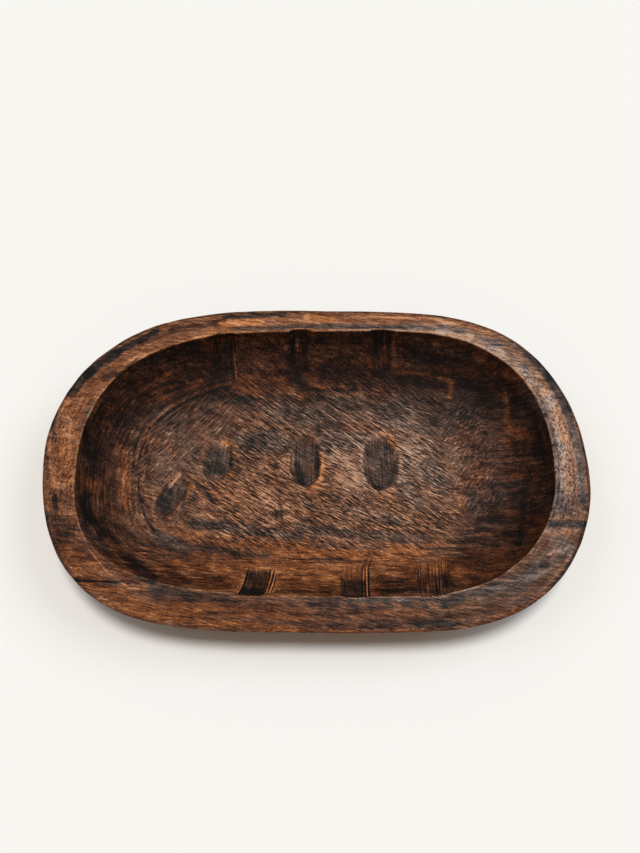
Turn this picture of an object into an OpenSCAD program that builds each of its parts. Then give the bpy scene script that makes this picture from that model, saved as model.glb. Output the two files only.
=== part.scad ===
// A carved wooden dough bowl, long and oval, cut from a blank of three boards glued edge to edge.
// Seen from above, x runs along the bowl to the right, y runs across it to the back, z is up.
// The origin lies under the middle of the bowl, on the surface that the foot rests on.

/* [Overall size] */
// Length over the rim
bowl_length = 480; // [420:5:600]
// Width over the rim
bowl_width = 294; // [270:2:360]
// Height of the rim's inner edge above the foot
bowl_height = 68; // [62:1:90]

/* [Rim] */
// Width of the rim at the left end
rim_left = 30.5; // [22:0.5:40]
// Width of the rim at the right end
rim_right = 32; // [22:0.5:40]
// Width of the rim along the back
rim_back = 22.5; // [18:0.5:34]
// Width of the rim along the front
rim_front = 30.5; // [18:0.5:36]
// Drop of the rim from its inner edge to its outer edge
rim_fall = 4; // [1:0.5:7]
// Radius worn onto the outer edge
outer_edge_r = 3; // [1:0.5:5]
// Radius worn onto the inner edge
inner_edge_r = 1; // [0.5:0.25:2]

/* [Hollow] */
// Depth of the hollow at the foot of its walls
wall_depth = 44; // [38:1:48]
// Further depth of the dished floor at its middle
floor_dish = 5; // [2:0.5:7]
// Level run of the left wall, from the rim's edge in to the floor
wall_run_left = 50.5; // [30:0.5:60]
// Level run of the right wall
wall_run_right = 36; // [30:1:60]
// Level run of the back wall
wall_run_back = 40.5; // [30:0.5:52]
// Level run of the front wall
wall_run_front = 38.5; // [30:0.5:48]

/* [Underside] */
// Level run of the outer wall at the ends, from the rim's edge in to the flat foot
foot_inset_x = 76; // [55:1:90]
// Level run of the outer wall along the sides
foot_inset_y = 54; // [42:1:66]
// Radius worn onto the edge of the foot
foot_edge_r = 4; // [1:0.5:6]

/* [Boards] */
// Width of the front board
front_board_w = 41.2; // [36:0.1:56]
// Width of the middle board
middle_board_w = 56.5; // [40:0.5:70]
// Thickness of each glue line
glue_line_t = 0.4; // [0.2:0.05:0.8]

/* [Gouge marks] */
// Length of a full gouge dent in the floor
dent_length = 50; // [36:1:56]
// Width of a full dent
dent_width = 31; // [20:1:40]
// Depth of a full dent
dent_depth = 3; // [1.5:0.25:4]
// Width of a gouge stroke down a wall
stroke_width = 24; // [14:1:30]
// Depth of a stroke below the wall
stroke_depth = 1.8; // [1:0.1:2.5]

/* [Hidden] */
half_length = bowl_length / 2;
half_width = bowl_width / 2;

// Places round an outline, and rings across each stretch of the section
outline_steps = 104;
wall_steps = 8;
side_steps = 7;
edge_steps = 3;
floor_steps = 4;

// Leans of a wall off upright, in degrees: where it starts at the rim and where it ends below
wall_lean_top = 10;
wall_lean_foot = 66;
side_lean_top = 16;
side_lean_foot = 62;

// An outline is four quarters of a rounded oblong, written as four lists. The first is its reach
// to the left, right, back and front. The second is the y of its left and right tips and the x of
// its back and front tips. The last two are the roundness of the long sides and of the ends, for
// the back right, back left, front left and front right quarters: 2 is an ellipse's, and a larger
// one is flatter in the middle and tighter at the corners.
rim_sides = [3.8, 3.35, 3.75, 4.4];
rim_ends = [2, 1.87, 2.35, 1.77];
mouth_sides = [2.3, 4.4, 3.85, 3];
mouth_ends = [2.45, 2.2, 2.75, 1.9];
floor_sides = [3.2, 3.6, 3.8, 3.2];
floor_ends = [2.5, 2.1, 3, 2.5];
foot_sides = [3, 3, 3.2, 3.2];
foot_ends = [2.1, 2, 2.3, 2];

// Tips of each outline, as shares of the bowl's half width along y and half length along x
rim_tip_shares = [0.03, -0.12, 0.03, -0.043];
mouth_tip_shares = [-0.073, -0.073, 0.3, 0.2];
floor_tip_shares = [-0.03, -0.03, -0.05, -0.03];

function tips(shares) = [
    shares[0] * half_width, shares[1] * half_width,
    shares[2] * half_length, shares[3] * half_length
];

rim_reach = [half_length, half_length, half_width, half_width];
rim_outline = [rim_reach, tips(rim_tip_shares), rim_sides, rim_ends];

mouth_reach = rim_reach - [rim_left, rim_right, rim_back, rim_front];
mouth_outline = [mouth_reach, tips(mouth_tip_shares), mouth_sides, mouth_ends];

floor_reach = mouth_reach - [wall_run_left, wall_run_right, wall_run_back, wall_run_front];
floor_outline = [floor_reach, tips(floor_tip_shares), floor_sides, floor_ends];

foot_reach = rim_reach - [foot_inset_x, foot_inset_x, foot_inset_y, foot_inset_y];
foot_outline = [foot_reach, tips(rim_tip_shares), foot_sides, foot_ends];

floor_edge_z = bowl_height - wall_depth;
rim_edge_z = bowl_height - rim_fall;

// An outline between two others, drawn in by an even distance, or shrunk about the middle
function between(a, b, share) = a + (b - a) * share;
function drawn_in(o, distance) = [o[0] - distance * [1, 1, 1, 1], o[1], o[2], o[3]];
function shrunk(o, share) = [o[0] * share, o[1] * share, o[2], o[3]];

// One quarter of an outline, to the right or left and to the back or front: its tips, its reach
// from them, and its two roundnesses
function quarter(o, right, back) =
    let (
        tip_y = o[1][right ? 1 : 0],
        tip_x = o[1][back ? 2 : 3],
        reach_x = right ? o[0][1] - tip_x : o[0][0] + tip_x,
        reach_y = back ? o[0][2] - tip_y : o[0][3] + tip_y,
        k = back ? (right ? 0 : 1) : (right ? 3 : 2)
    )
    [tip_x, tip_y, reach_x, reach_y, o[2][k], o[3][k]];

// The point of an outline at an angle, taken counter-clockwise from the right tip
function outline_point(o, angle) =
    let (c = cos(angle), s = sin(angle), q = quarter(o, c >= 0, s >= 0))
    [
        q[0] + sign(c) * q[2] * pow(abs(c), 2 / q[4]),
        q[1] + sign(s) * q[3] * pow(abs(s), 2 / q[5])
    ];

// How far an outline reaches to one side, 1 for the back or -1 for the front, at a place along x
function outline_y(o, x, side) =
    let (
        q = quarter(o, x >= o[1][side > 0 ? 2 : 3], side > 0),
        along = min(1, abs(x - q[0]) / q[2])
    )
    q[1] + side * q[3] * pow(1 - pow(along, q[4]), 1 / q[5]);

// A wall leaves its top edge steeply and turns flatter as it goes in. Its run and fall are shares,
// taken where its lean off upright has come to an angle between the two given.
function run_share(lean, top, foot) = (cos(top) - cos(lean)) / (cos(top) - cos(foot));
function fall_share(lean, top, foot) = (sin(lean) - sin(top)) / (sin(foot) - sin(top));

// The section, as rings of an outline and a height, from the foot up the outside, over the rim,
// down the inside and in across the floor
side_top_z = rim_edge_z - outer_edge_r;
wall_top_z = bowl_height - inner_edge_r;

function foot_rings() = [
    for (i = [0 : 1])
        let (a = i * side_lean_foot / 2)
        [drawn_in(foot_outline, foot_edge_r * (1 - sin(a))), foot_edge_r * (1 - cos(a))]
];

function side_rings() = [
    for (i = [0 : side_steps - 1])
        let (lean = side_lean_foot + (side_lean_top - side_lean_foot) * i / (side_steps - 1))
        [
            between(rim_outline, foot_outline, run_share(lean, side_lean_top, side_lean_foot)),
            side_top_z - (side_top_z - foot_edge_r / 2)
                * fall_share(lean, side_lean_top, side_lean_foot)
        ]
];

function outer_edge_rings() = [
    for (i = [1 : edge_steps])
        let (a = i * 90 / edge_steps)
        [drawn_in(rim_outline, outer_edge_r * (1 - cos(a))), side_top_z + outer_edge_r * sin(a)]
];

function inner_edge_rings() = [
    for (i = [0 : edge_steps - 1])
        let (a = i * 90 / edge_steps)
        [drawn_in(mouth_outline, -inner_edge_r * (1 - sin(a))), wall_top_z + inner_edge_r * cos(a)]
];

// The ring of the hollow's wall where its lean has come to an angle
function wall_ring(lean) = [
    between(mouth_outline, floor_outline, run_share(lean, wall_lean_top, wall_lean_foot)),
    wall_top_z - (wall_top_z - floor_edge_z) * fall_share(lean, wall_lean_top, wall_lean_foot)
];

function wall_rings() = [
    for (i = [0 : wall_steps])
        wall_ring(wall_lean_top + (wall_lean_foot - wall_lean_top) * i / wall_steps)
];

function floor_rings() = [
    for (i = [1 : floor_steps - 1])
        let (share = 1 - i / floor_steps)
        [shrunk(floor_outline, share), floor_edge_z - floor_dish * (1 - share * share)]
];

function section() = concat(
    foot_rings(), side_rings(), outer_edge_rings(),
    inner_edge_rings(), wall_rings(), floor_rings()
);

// The skin through all the rings, closed by a fan under the foot and a fan in the floor's middle
module carved_form() {
    rings = section();
    n = outline_steps;
    last = len(rings) - 1;
    points = concat(
        [for (r = rings) for (i = [0 : n - 1])
            concat(outline_point(r[0], i * 360 / n), [r[1]])],
        [[0, 0, 0], [0, 0, floor_edge_z - floor_dish]]
    );
    below = len(rings) * n;
    above = below + 1;
    faces = concat(
        [for (i = [0 : n - 1]) [below, i, (i + 1) % n]],
        [for (k = [0 : last - 1]) for (i = [0 : n - 1])
            [k * n + i, (k + 1) * n + i, (k + 1) * n + (i + 1) % n]],
        [for (k = [0 : last - 1]) for (i = [0 : n - 1])
            [k * n + i, (k + 1) * n + (i + 1) % n, k * n + (i + 1) % n]],
        [for (i = [0 : n - 1]) [above, last * n + (i + 1) % n, last * n + i]]
    );
    polyhedron(points, faces);
}

// A gouge is a curved blade that swings in an arc. Its cut is part of a ring: the swing gives the
// length of the mark, and the blade's own curve gives its width.
function arc_radius(chord, depth) = (chord * chord / 4 + depth * depth) / (2 * depth);

// A swing runs a little past both ends of its mark, and a stroke starts above the rim, in degrees
swing_margin = 1.2;
over_rim_turn = 15;

// The floor's height at a place
function floor_z(x, y) =
    let (
        share_x = x / floor_reach[x >= 0 ? 1 : 0],
        share_y = y / floor_reach[y >= 0 ? 2 : 3]
    )
    floor_edge_z - floor_dish * max(0, 1 - share_x * share_x - share_y * share_y);

// Dents in the floor: the place of each one's middle, as shares of the half length and half width,
// its length, width and depth as shares of a full dent, and its turn from straight across
dent_shares = [
    [-0.545, -0.133, 0.85, 0.66, 0.8],
    [-0.377, 0.105, 0.77, 0.86, 0.55],
    [-0.043, 0.097, 0.96, 0.92, 1],
    [0.244, 0.089, 1.03, 1.06, 1]
];
dent_turns = [-31, -6, 0, 3];

module floor_dents() {
    for (i = [0 : len(dent_shares) - 1]) {
        d = dent_shares[i];
        x = d[0] * half_length;
        y = d[1] * half_width;
        depth = d[4] * dent_depth;
        swing = arc_radius(d[2] * dent_length, depth);
        half_turn = swing_margin * asin(d[2] * dent_length / 2 / swing);
        translate([x, y, floor_z(x, y) - depth + swing])
            rotate([0, 0, dent_turns[i]])
                rotate([0, 90, 0])
                    rotate([0, 0, -half_turn])
                        rotate_extrude(angle = 2 * half_turn, $fn = 96)
                            blade_section(swing, d[3] * dent_width, depth);
    }
}

// The blade's curved edge at the end of its swing, as deep again behind as the mark that it cuts
module blade_section(swing, width, depth) {
    blade = arc_radius(width, depth);
    intersection() {
        translate([swing - blade, 0]) circle(blade, $fn = 96);
        translate([swing - 3 * depth, -width]) square([4 * depth, 2 * width]);
    }
}

// Centre of the circle through three points of a plane
function circle_centre(a, b, c) =
    let (
        d = 2 * (a[0] * (b[1] - c[1]) + b[0] * (c[1] - a[1]) + c[0] * (a[1] - b[1])),
        aa = a * a,
        bb = b * b,
        cc = c * c
    )
    [
        (aa * (b[1] - c[1]) + bb * (c[1] - a[1]) + cc * (a[1] - b[1])) / d,
        (aa * (c[0] - b[0]) + bb * (a[0] - c[0]) + cc * (b[0] - a[0])) / d
    ];

// A point of the hollow's wall at a place along x, as its distance out to one side and its height,
// pushed into the wood by a depth
function wall_point(x, side, lean, depth) =
    let (r = wall_ring(lean))
    [side * outline_y(r[0], x, side) + depth * cos(lean), r[1] - depth * sin(lean)];

// Strokes down the walls: the place of each one along x as a share of the half length, its side,
// its width as a share of a full stroke, and the lean of the wall where the blade came out
stroke_shares = [
    [-0.362, 1, 1.02, 0.9],
    [-0.066, 1, 0.83, 0.95],
    [0.238, 1, 0.85, 0.72],
    [-0.216, -1, 1.25, 0.85],
    [0.144, -1, 1, 0.95],
    [0.423, -1, 1.25, 0.9]
];

module wall_strokes() {
    for (s = stroke_shares) {
        x = s[0] * half_length;
        side = s[1];
        end_lean = wall_lean_top + (wall_lean_foot - wall_lean_top) * s[3];
        mid_lean = (wall_lean_top + end_lean) / 2;
        start = wall_point(x, side, wall_lean_top, stroke_depth);
        middle = wall_point(x, side, mid_lean, stroke_depth);
        end = wall_point(x, side, end_lean, 0);
        centre = circle_centre(start, middle, end);
        swing = norm(start - centre);
        end_turn = atan2(end[1] - centre[1], end[0] - centre[0]);
        translate([x, side * centre[0], centre[1]])
            rotate([0, 0, side * 90])
                rotate([90, 0, 0])
                    rotate([0, 0, end_turn])
                        rotate_extrude(angle = over_rim_turn - end_turn, $fn = 96)
                            blade_section(swing, s[2] * stroke_width, stroke_depth);
    }
}

// The seams between the boards lie along x, measured in from the front of the bowl
front_seam_y = front_board_w - half_width;
back_seam_y = front_seam_y + middle_board_w;
overrun = 10;

// The carved bowl between two planes across y
module carved_between(from_y, to_y) {
    difference() {
        intersection() {
            carved_form();
            translate([-half_length - overrun, from_y, -overrun])
                cube([bowl_length + 2 * overrun, to_y - from_y, bowl_height + 2 * overrun]);
        }
        floor_dents();
        wall_strokes();
    }
}

module front_board() {
    color("#74422a") carved_between(-half_width - overrun, front_seam_y - glue_line_t / 2);
}

module front_glue_line() {
    color("#2a1a12") carved_between(front_seam_y - glue_line_t / 2, front_seam_y + glue_line_t / 2);
}

module middle_board() {
    color("#7f4b2c")
        carved_between(front_seam_y + glue_line_t / 2, back_seam_y - glue_line_t / 2);
}

module back_glue_line() {
    color("#2a1a12") carved_between(back_seam_y - glue_line_t / 2, back_seam_y + glue_line_t / 2);
}

module back_board() {
    color("#6b3f24") carved_between(back_seam_y + glue_line_t / 2, half_width + overrun);
}

back_board();
back_glue_line();
middle_board();
front_glue_line();
front_board();
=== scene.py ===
# %% [markdown]
# # A hand-carved dough bowl
# The bowl is one long oval trough, cut with gouges and scrapers from three boards that were glued
# edge to edge. The packed model holds the boards and the two glue lines at their real size. This
# lesson dresses them: it works out one fine skin for the whole bowl with numpy, cuts it along the
# seams into the same five pieces, and finishes each with a procedural wood.

# %% Load the frame
import math

import bmesh
import bpy
import numpy as np
from mathutils import Matrix, Vector


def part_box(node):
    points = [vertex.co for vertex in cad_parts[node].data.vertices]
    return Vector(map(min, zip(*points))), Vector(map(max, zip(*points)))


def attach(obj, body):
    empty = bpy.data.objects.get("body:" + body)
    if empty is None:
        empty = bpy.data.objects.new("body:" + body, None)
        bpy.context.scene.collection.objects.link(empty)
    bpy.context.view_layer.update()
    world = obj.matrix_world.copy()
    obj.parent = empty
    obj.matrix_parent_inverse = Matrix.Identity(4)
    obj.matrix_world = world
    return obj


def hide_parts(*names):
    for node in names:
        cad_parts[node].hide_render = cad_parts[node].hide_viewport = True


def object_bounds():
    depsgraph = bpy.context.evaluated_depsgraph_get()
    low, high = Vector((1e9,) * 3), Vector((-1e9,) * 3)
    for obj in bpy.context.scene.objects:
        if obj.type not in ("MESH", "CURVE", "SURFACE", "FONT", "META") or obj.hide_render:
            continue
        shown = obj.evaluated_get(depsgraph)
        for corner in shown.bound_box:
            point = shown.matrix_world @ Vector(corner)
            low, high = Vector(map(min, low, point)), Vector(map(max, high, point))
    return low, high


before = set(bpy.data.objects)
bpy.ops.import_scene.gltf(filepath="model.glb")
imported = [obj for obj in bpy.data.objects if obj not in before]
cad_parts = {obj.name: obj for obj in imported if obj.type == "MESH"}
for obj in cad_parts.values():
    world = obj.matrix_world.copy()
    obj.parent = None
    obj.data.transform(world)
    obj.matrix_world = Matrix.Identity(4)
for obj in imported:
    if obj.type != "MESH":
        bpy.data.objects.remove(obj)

CAD_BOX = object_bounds()
MM = 0.001
GLUE_LINES = ("back_glue_line", "front_glue_line")
low, high = CAD_BOX
HALF_LENGTH = (high[0] - low[0]) / 2 / MM
HALF_WIDTH = (high[1] - low[1]) / 2 / MM
HEIGHT = (high[2] - low[2]) / MM
print("bowl in mm:", round(2 * HALF_LENGTH), round(2 * HALF_WIDTH), round(HEIGHT))

# %% [markdown]
# ## The camera
# The photograph looks down at the bowl at 72 degrees from about a metre away. The camera comes
# first because stains and worn places are laid out below by where they show in the photograph,
# and that needs the same lens: a point goes through it to a pixel of a 640 by 853 picture.

# %% Camera
PHOTO_WIDE, PHOTO_HIGH = 640, 853
LOOK_DOWN = math.radians(72)
ROLL = math.radians(0.54)
DISTANCE = 1.0
AIM = np.array([0.0028, 0.0329, 0.068])
LENS_PIXELS = 1136.2
SENSOR = 36

forward = np.array([0, math.cos(LOOK_DOWN), -math.sin(LOOK_DOWN)])
level = np.array([1.0, 0, 0])
upward = np.cross(level, forward)
cam_right = level * math.cos(ROLL) + upward * math.sin(ROLL)
cam_up = upward * math.cos(ROLL) - level * math.sin(ROLL)
cam_place = AIM - DISTANCE * forward


def to_photo(places):
    """Pixels of places in metres: offsets from the camera along its right and up, over depth."""
    away = places - cam_place
    depth = away @ forward
    across = PHOTO_WIDE / 2 + LENS_PIXELS * (away @ cam_right) / depth
    down = PHOTO_HIGH / 2 - LENS_PIXELS * (away @ cam_up) / depth
    return across, down


camera = bpy.data.objects.new("camera", bpy.data.cameras.new("camera"))
bpy.context.scene.collection.objects.link(camera)
camera.data.sensor_width = SENSOR
camera.data.lens = SENSOR * LENS_PIXELS / PHOTO_HIGH
axes = np.array([cam_right, cam_up, -forward]).T
camera.matrix_world = Matrix.Translation(Vector(cam_place)) @ Matrix(axes.tolist()).to_4x4()
bpy.context.scene.camera = camera
print("lens in mm:", round(camera.data.lens, 2))

# %% [markdown]
# ## Outlines
# Every level line of the bowl is a rounded oblong in four quarters. It could be traced as points,
# but a formula is easier to change: each quarter is a superellipse with one roundness for the long
# side and another for the end. The hollow's mouth, its floor and the foot are such outlines, and
# anything between two of them is a mix.

# %% Outlines
RIM_LEFT, RIM_RIGHT, RIM_BACK, RIM_FRONT = 30.5, 32, 22.5, 30.5
WALL_LEFT, WALL_RIGHT, WALL_BACK, WALL_FRONT = 50.5, 36, 40.5, 38.5
FOOT_ENDS, FOOT_SIDES = 76, 54


def outline(reach, tip_shares, sides, ends):
    """Four rows: reach to the left, right, back and front; y of the left and right tips and x of
    the back and front tips; roundness of the sides; roundness of the ends."""
    tips = np.array(tip_shares) * (HALF_WIDTH, HALF_WIDTH, HALF_LENGTH, HALF_LENGTH)
    return np.array([reach, tips, sides, ends], float)


rim_reach = np.array([HALF_LENGTH, HALF_LENGTH, HALF_WIDTH, HALF_WIDTH])
mouth_reach = rim_reach - (RIM_LEFT, RIM_RIGHT, RIM_BACK, RIM_FRONT)
floor_reach = mouth_reach - (WALL_LEFT, WALL_RIGHT, WALL_BACK, WALL_FRONT)
foot_reach = rim_reach - (FOOT_ENDS, FOOT_ENDS, FOOT_SIDES, FOOT_SIDES)
RIM = outline(rim_reach, (0.03, -0.12, 0.03, -0.043), (3.8, 3.35, 3.75, 4.4), (2, 1.87, 2.35, 1.77))
MOUTH = outline(
    mouth_reach, (-0.073, -0.073, 0.3, 0.2), (2.3, 4.4, 3.85, 3), (2.45, 2.2, 2.75, 1.9)
)
FLOOR = outline(floor_reach, (-0.03, -0.03, -0.04, -0.04), (3.2, 3.6, 3.8, 3.2), (2.5, 2.1, 3, 2.5))
FOOT = outline(foot_reach, (0.03, -0.12, 0.03, -0.043), (3, 3, 3.2, 3.2), (2.1, 2, 2.3, 2))
print("mouth's reaches in mm:", mouth_reach)

# %% Rings
EVEN_SIDE, EVEN_END = 3.3, 2.3


def spine(half_length):
    """A flat outline: the line along x that the rings of the floor and of the foot close onto."""
    reach = (half_length, half_length, 0, 0)
    return outline(reach, (0, 0, 0, 0), (EVEN_SIDE,) * 4, (EVEN_END,) * 4)


def rings(outlines, heights, turns):
    """Places of many outlines at many turns: tip + reach * |cos|^(2 / side) along x and
    tip + reach * |sin|^(2 / end) along y, quarter by quarter."""
    o = outlines[:, :, :, None]
    c, s = np.cos(turns)[None], np.sin(turns)[None]
    right, back = c >= 0, s >= 0
    tip_y = np.where(right, o[:, 1, 1], o[:, 1, 0])
    tip_x = np.where(back, o[:, 1, 2], o[:, 1, 3])
    reach_x = np.where(right, o[:, 0, 1] - tip_x, o[:, 0, 0] + tip_x)
    reach_y = np.where(back, o[:, 0, 2] - tip_y, o[:, 0, 3] + tip_y)

    def round_at(row):
        return np.where(
            back,
            np.where(right, o[:, row, 0], o[:, row, 1]),
            np.where(right, o[:, row, 3], o[:, row, 2]),
        )

    x = tip_x + np.sign(c) * reach_x * np.abs(c) ** (2 / round_at(2))
    y = tip_y + np.sign(s) * reach_y * np.abs(s) ** (2 / round_at(3))
    return np.stack([x, y, np.repeat(heights[:, None], len(turns), 1)], -1)


right_and_back = rings(RIM[None], np.array([HEIGHT]), np.array([0, math.pi / 2]))
print("right and back tips of the rim in mm:", right_and_back[0].round(1).tolist())

# %% Turns
COLUMNS = 704
FINE_STEPS = 20001


def even_turns(count):
    """Turns that step evenly along a plain superellipse, the same in all four quarters, so that
    the rings can close onto a spine."""
    fine = np.linspace(0, math.pi / 2, FINE_STEPS)
    x = HALF_LENGTH * np.abs(np.cos(fine)) ** (2 / EVEN_SIDE)
    y = HALF_WIDTH * np.sin(fine) ** (2 / EVEN_END)
    walked = np.concatenate([[0], np.cumsum(np.hypot(np.diff(x), np.diff(y)))])
    quarter = np.interp(np.linspace(0, walked[-1], count // 4 + 1), walked, fine)
    half = np.concatenate([quarter, math.pi - quarter[-2::-1]])
    return np.concatenate([half, 2 * math.pi - half[-2:0:-1]])


turns = even_turns(COLUMNS)
print("columns:", len(turns))

# %% [markdown]
# ## The section
# Going from the middle of the foot up the outside, over the rim and down to the middle of the
# floor gives the rows of the skin. The wall and the outer side share one rule: they leave the rim
# steeply and lean further over on the way in, as a gouge that follows the swing of the arm does.

# %% Sizes of the section
RIM_FALL, OUTER_EDGE_R, INNER_EDGE_R, FOOT_EDGE_R = 4, 3, 1, 4
WALL_DEPTH, FLOOR_DISH = 44, 5
WALL_LEANS = (10, 66)
SIDE_LEANS = (16, 62)
FOOT_ROWS, SIDE_ROWS, OUTER_ROWS, RIM_ROWS = 8, 30, 6, 34
INNER_ROWS, WALL_ROWS, FLOOR_ROWS = 4, 54, 64
floor_edge_z = HEIGHT - WALL_DEPTH
side_top_z = HEIGHT - RIM_FALL - OUTER_EDGE_R
wall_top_z = HEIGHT - INNER_EDGE_R
print("floor's edge and wall's top in mm:", floor_edge_z, wall_top_z)


# %% Mixing and leaning
def mixed(a, b, shares):
    """Outlines between two outlines, one for each share."""
    return a[None] + (b - a)[None] * np.asarray(shares)[:, None, None]


def drawn_in(o, distances):
    """An outline with its four reaches drawn in by each distance."""
    step = np.zeros((4, 4))
    step[0] = 1
    return o[None] - step[None] * np.asarray(distances)[:, None, None]


def leaning(leans, top, foot):
    """Run and fall, as shares, of an arc whose lean off upright goes from top to foot degrees."""
    a, t, f = np.radians(leans), math.radians(top), math.radians(foot)
    run = (math.cos(t) - np.cos(a)) / (math.cos(t) - math.cos(f))
    fall = (np.sin(a) - math.sin(t)) / (math.sin(f) - math.sin(t))
    return run, fall


halfway = leaning(np.array([sum(WALL_LEANS) / 2]), *WALL_LEANS)
print("run and fall of the wall at its middle lean:", np.round(halfway, 2).ravel())

# %% Rows of the section
UNDERSIDE, OUTER_EDGE, RIM_TOP, INNER_EDGE, WALL, FLOOR_ZONE = range(6)


def section():
    """All rows, from the middle of the foot to the middle of the floor: their outlines, their
    heights and the zone of each."""
    parts = []
    inner_foot = drawn_in(FOOT, [FOOT_EDGE_R])[0]
    grown = np.linspace(0, 1, FOOT_ROWS)
    parts.append((mixed(spine(FOOT[0, 0] / 2), inner_foot, grown), 0 * grown, UNDERSIDE))
    bend = np.radians(SIDE_LEANS[1] / 2)
    parts.append((drawn_in(FOOT, [FOOT_EDGE_R * (1 - math.sin(bend))]),
                  np.array([FOOT_EDGE_R * (1 - math.cos(bend))]), UNDERSIDE))
    leans = np.linspace(SIDE_LEANS[1], SIDE_LEANS[0], SIDE_ROWS)
    run, fall = leaning(leans, *SIDE_LEANS)
    side_z = side_top_z - (side_top_z - FOOT_EDGE_R / 2) * fall
    parts.append((mixed(RIM, FOOT, run), side_z, UNDERSIDE))
    a = np.linspace(0, math.pi / 2, OUTER_ROWS + 1)[1:]
    parts.append((drawn_in(RIM, OUTER_EDGE_R * (1 - np.cos(a))),
                  side_top_z + OUTER_EDGE_R * np.sin(a), OUTER_EDGE))
    over = np.linspace(0, 1, RIM_ROWS + 2)[1:-1]
    rim_outer, rim_inner = drawn_in(RIM, [OUTER_EDGE_R])[0], drawn_in(MOUTH, [-INNER_EDGE_R])[0]
    parts.append((mixed(rim_outer, rim_inner, over), HEIGHT - RIM_FALL * (1 - over), RIM_TOP))
    a = np.linspace(0, math.pi / 2, INNER_ROWS)
    parts.append((drawn_in(MOUTH, -INNER_EDGE_R * (1 - np.sin(a))),
                  wall_top_z + INNER_EDGE_R * np.cos(a), INNER_EDGE))
    leans = np.linspace(*WALL_LEANS, WALL_ROWS + 1)[1:]
    run, fall = leaning(leans, *WALL_LEANS)
    wall_z = wall_top_z - (wall_top_z - floor_edge_z) * fall
    parts.append((mixed(MOUTH, FLOOR, run), wall_z, WALL))
    shrunk = np.linspace(1, 0, FLOOR_ROWS + 1)[1:]
    shrinking = mixed(spine(FLOOR[0, 0] / 2), FLOOR, shrunk)
    parts.append((shrinking, 0 * shrunk + floor_edge_z, FLOOR_ZONE))
    outlines = np.concatenate([p[0] for p in parts])
    heights = np.concatenate([p[1] for p in parts])
    zones = np.concatenate([np.full(len(p[1]), p[2]) for p in parts])
    return outlines, heights, zones


outlines, heights, zones = section()
skin = rings(outlines, heights, turns)
print("rows and columns of the skin:", skin.shape[:2])

# %% Dish of the floor
DISH_POWER = 2.6


def floor_height(x, y):
    """The dish of the floor: its edge height less the dish times 1 - q^2, where q is 0 in the
    middle and 1 at the floor's outline."""
    tip_y, tip_x = FLOOR[1, 0], FLOOR[1, 2]
    right, back = x >= tip_x, y >= tip_y
    reach_x = np.where(right, FLOOR[0, 1] - tip_x, FLOOR[0, 0] + tip_x)
    reach_y = np.where(back, FLOOR[0, 2] - tip_y, FLOOR[0, 3] + tip_y)
    across, down = np.abs(x - tip_x) / reach_x, np.abs(y - tip_y) / reach_y
    q = np.minimum(1, (across ** DISH_POWER + down ** DISH_POWER) ** (1 / DISH_POWER))
    return floor_edge_z - FLOOR_DISH * (1 - q ** 2)


on_floor = zones == FLOOR_ZONE
skin[on_floor, :, 2] = floor_height(skin[on_floor, :, 0], skin[on_floor, :, 1])
print("lowest point of the floor in mm:", skin[on_floor, :, 2].min().round(2))

# %% [markdown]
# ## Measures on the skin
# Carving marks follow the surface, so they need a few measures at every point: the outward normal,
# the distance walked round the mouth and down the section, and how far the point is from the
# mouth's edge and from the crease where wall and floor meet.

# %% Measures
def normals(grid):
    """Unit normals: the cross product of the steps along a ring and along the section."""
    along = np.roll(grid, -1, 1) - np.roll(grid, 1, 1)
    across = np.gradient(grid, axis=0)
    n = np.cross(along, across)
    return n / np.maximum(np.linalg.norm(n, axis=-1, keepdims=True), 1e-9)


def first_row(zone):
    """Number of the first row in a zone."""
    return int(np.argmax(zones == zone))


mouth_row, crease_row = first_row(WALL) - 1, first_row(FLOOR_ZONE) - 1
steps = np.linalg.norm(np.diff(skin, axis=0), axis=-1)
walked = np.concatenate([np.zeros((1, COLUMNS)), np.cumsum(steps, 0)])
below_mouth = walked - walked[mouth_row]
above_crease = walked[crease_row] - walked
wall_share = np.clip(below_mouth / (walked[crease_row] - walked[mouth_row]), 0, 1)
mouth_step = np.linalg.norm(np.roll(skin[mouth_row], -1, 0) - skin[mouth_row], axis=-1)
round_mouth = np.concatenate([[0], np.cumsum(mouth_step)[:-1]])
normal = normals(skin)
x, y = skin[..., 0], skin[..., 1]
zone = np.repeat(zones[:, None], COLUMNS, 1)
in_hollow = zone >= WALL
hollow = in_hollow.astype(float)
photo_x, photo_y = to_photo(skin * MM)
print("mouth in mm:", round(float(mouth_step.sum())))
print("wall in mm:", np.round(above_crease[mouth_row].mean()))

# %% Noise
LATTICE = 256


def noise(u, v, seed):
    """Smooth noise from 0 to 1: random heights on a unit lattice, eased between its corners."""
    table = np.random.default_rng(seed).random((LATTICE, LATTICE))
    left, low = np.floor(u).astype(int), np.floor(v).astype(int)
    fu, fv = u - left, v - low
    fu, fv = fu * fu * (3 - 2 * fu), fv * fv * (3 - 2 * fv)

    def row(at):
        start, end = table[at % LATTICE, left % LATTICE], table[at % LATTICE, (left + 1) % LATTICE]
        return start * (1 - fu) + end * fu

    return row(low) * (1 - fv) + row(low + 1) * fv


def eased(low_end, high_end, value):
    """0 below the low end, 1 above the high end, and a smooth S between."""
    t = np.clip((value - low_end) / (high_end - low_end), 0, 1)
    return t * t * (3 - 2 * t)


def turned(u, v, degrees):
    """Coordinates along and across a direction that is turned counter-clockwise from x."""
    a = math.radians(degrees)
    return u * math.cos(a) + v * math.sin(a), v * math.cos(a) - u * math.sin(a)


mouth_turn = 2 * math.pi * round_mouth / mouth_step.sum()
mouth_radius = mouth_step.sum() / (2 * math.pi)
CIRCLE_MIDDLE = 50


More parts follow.
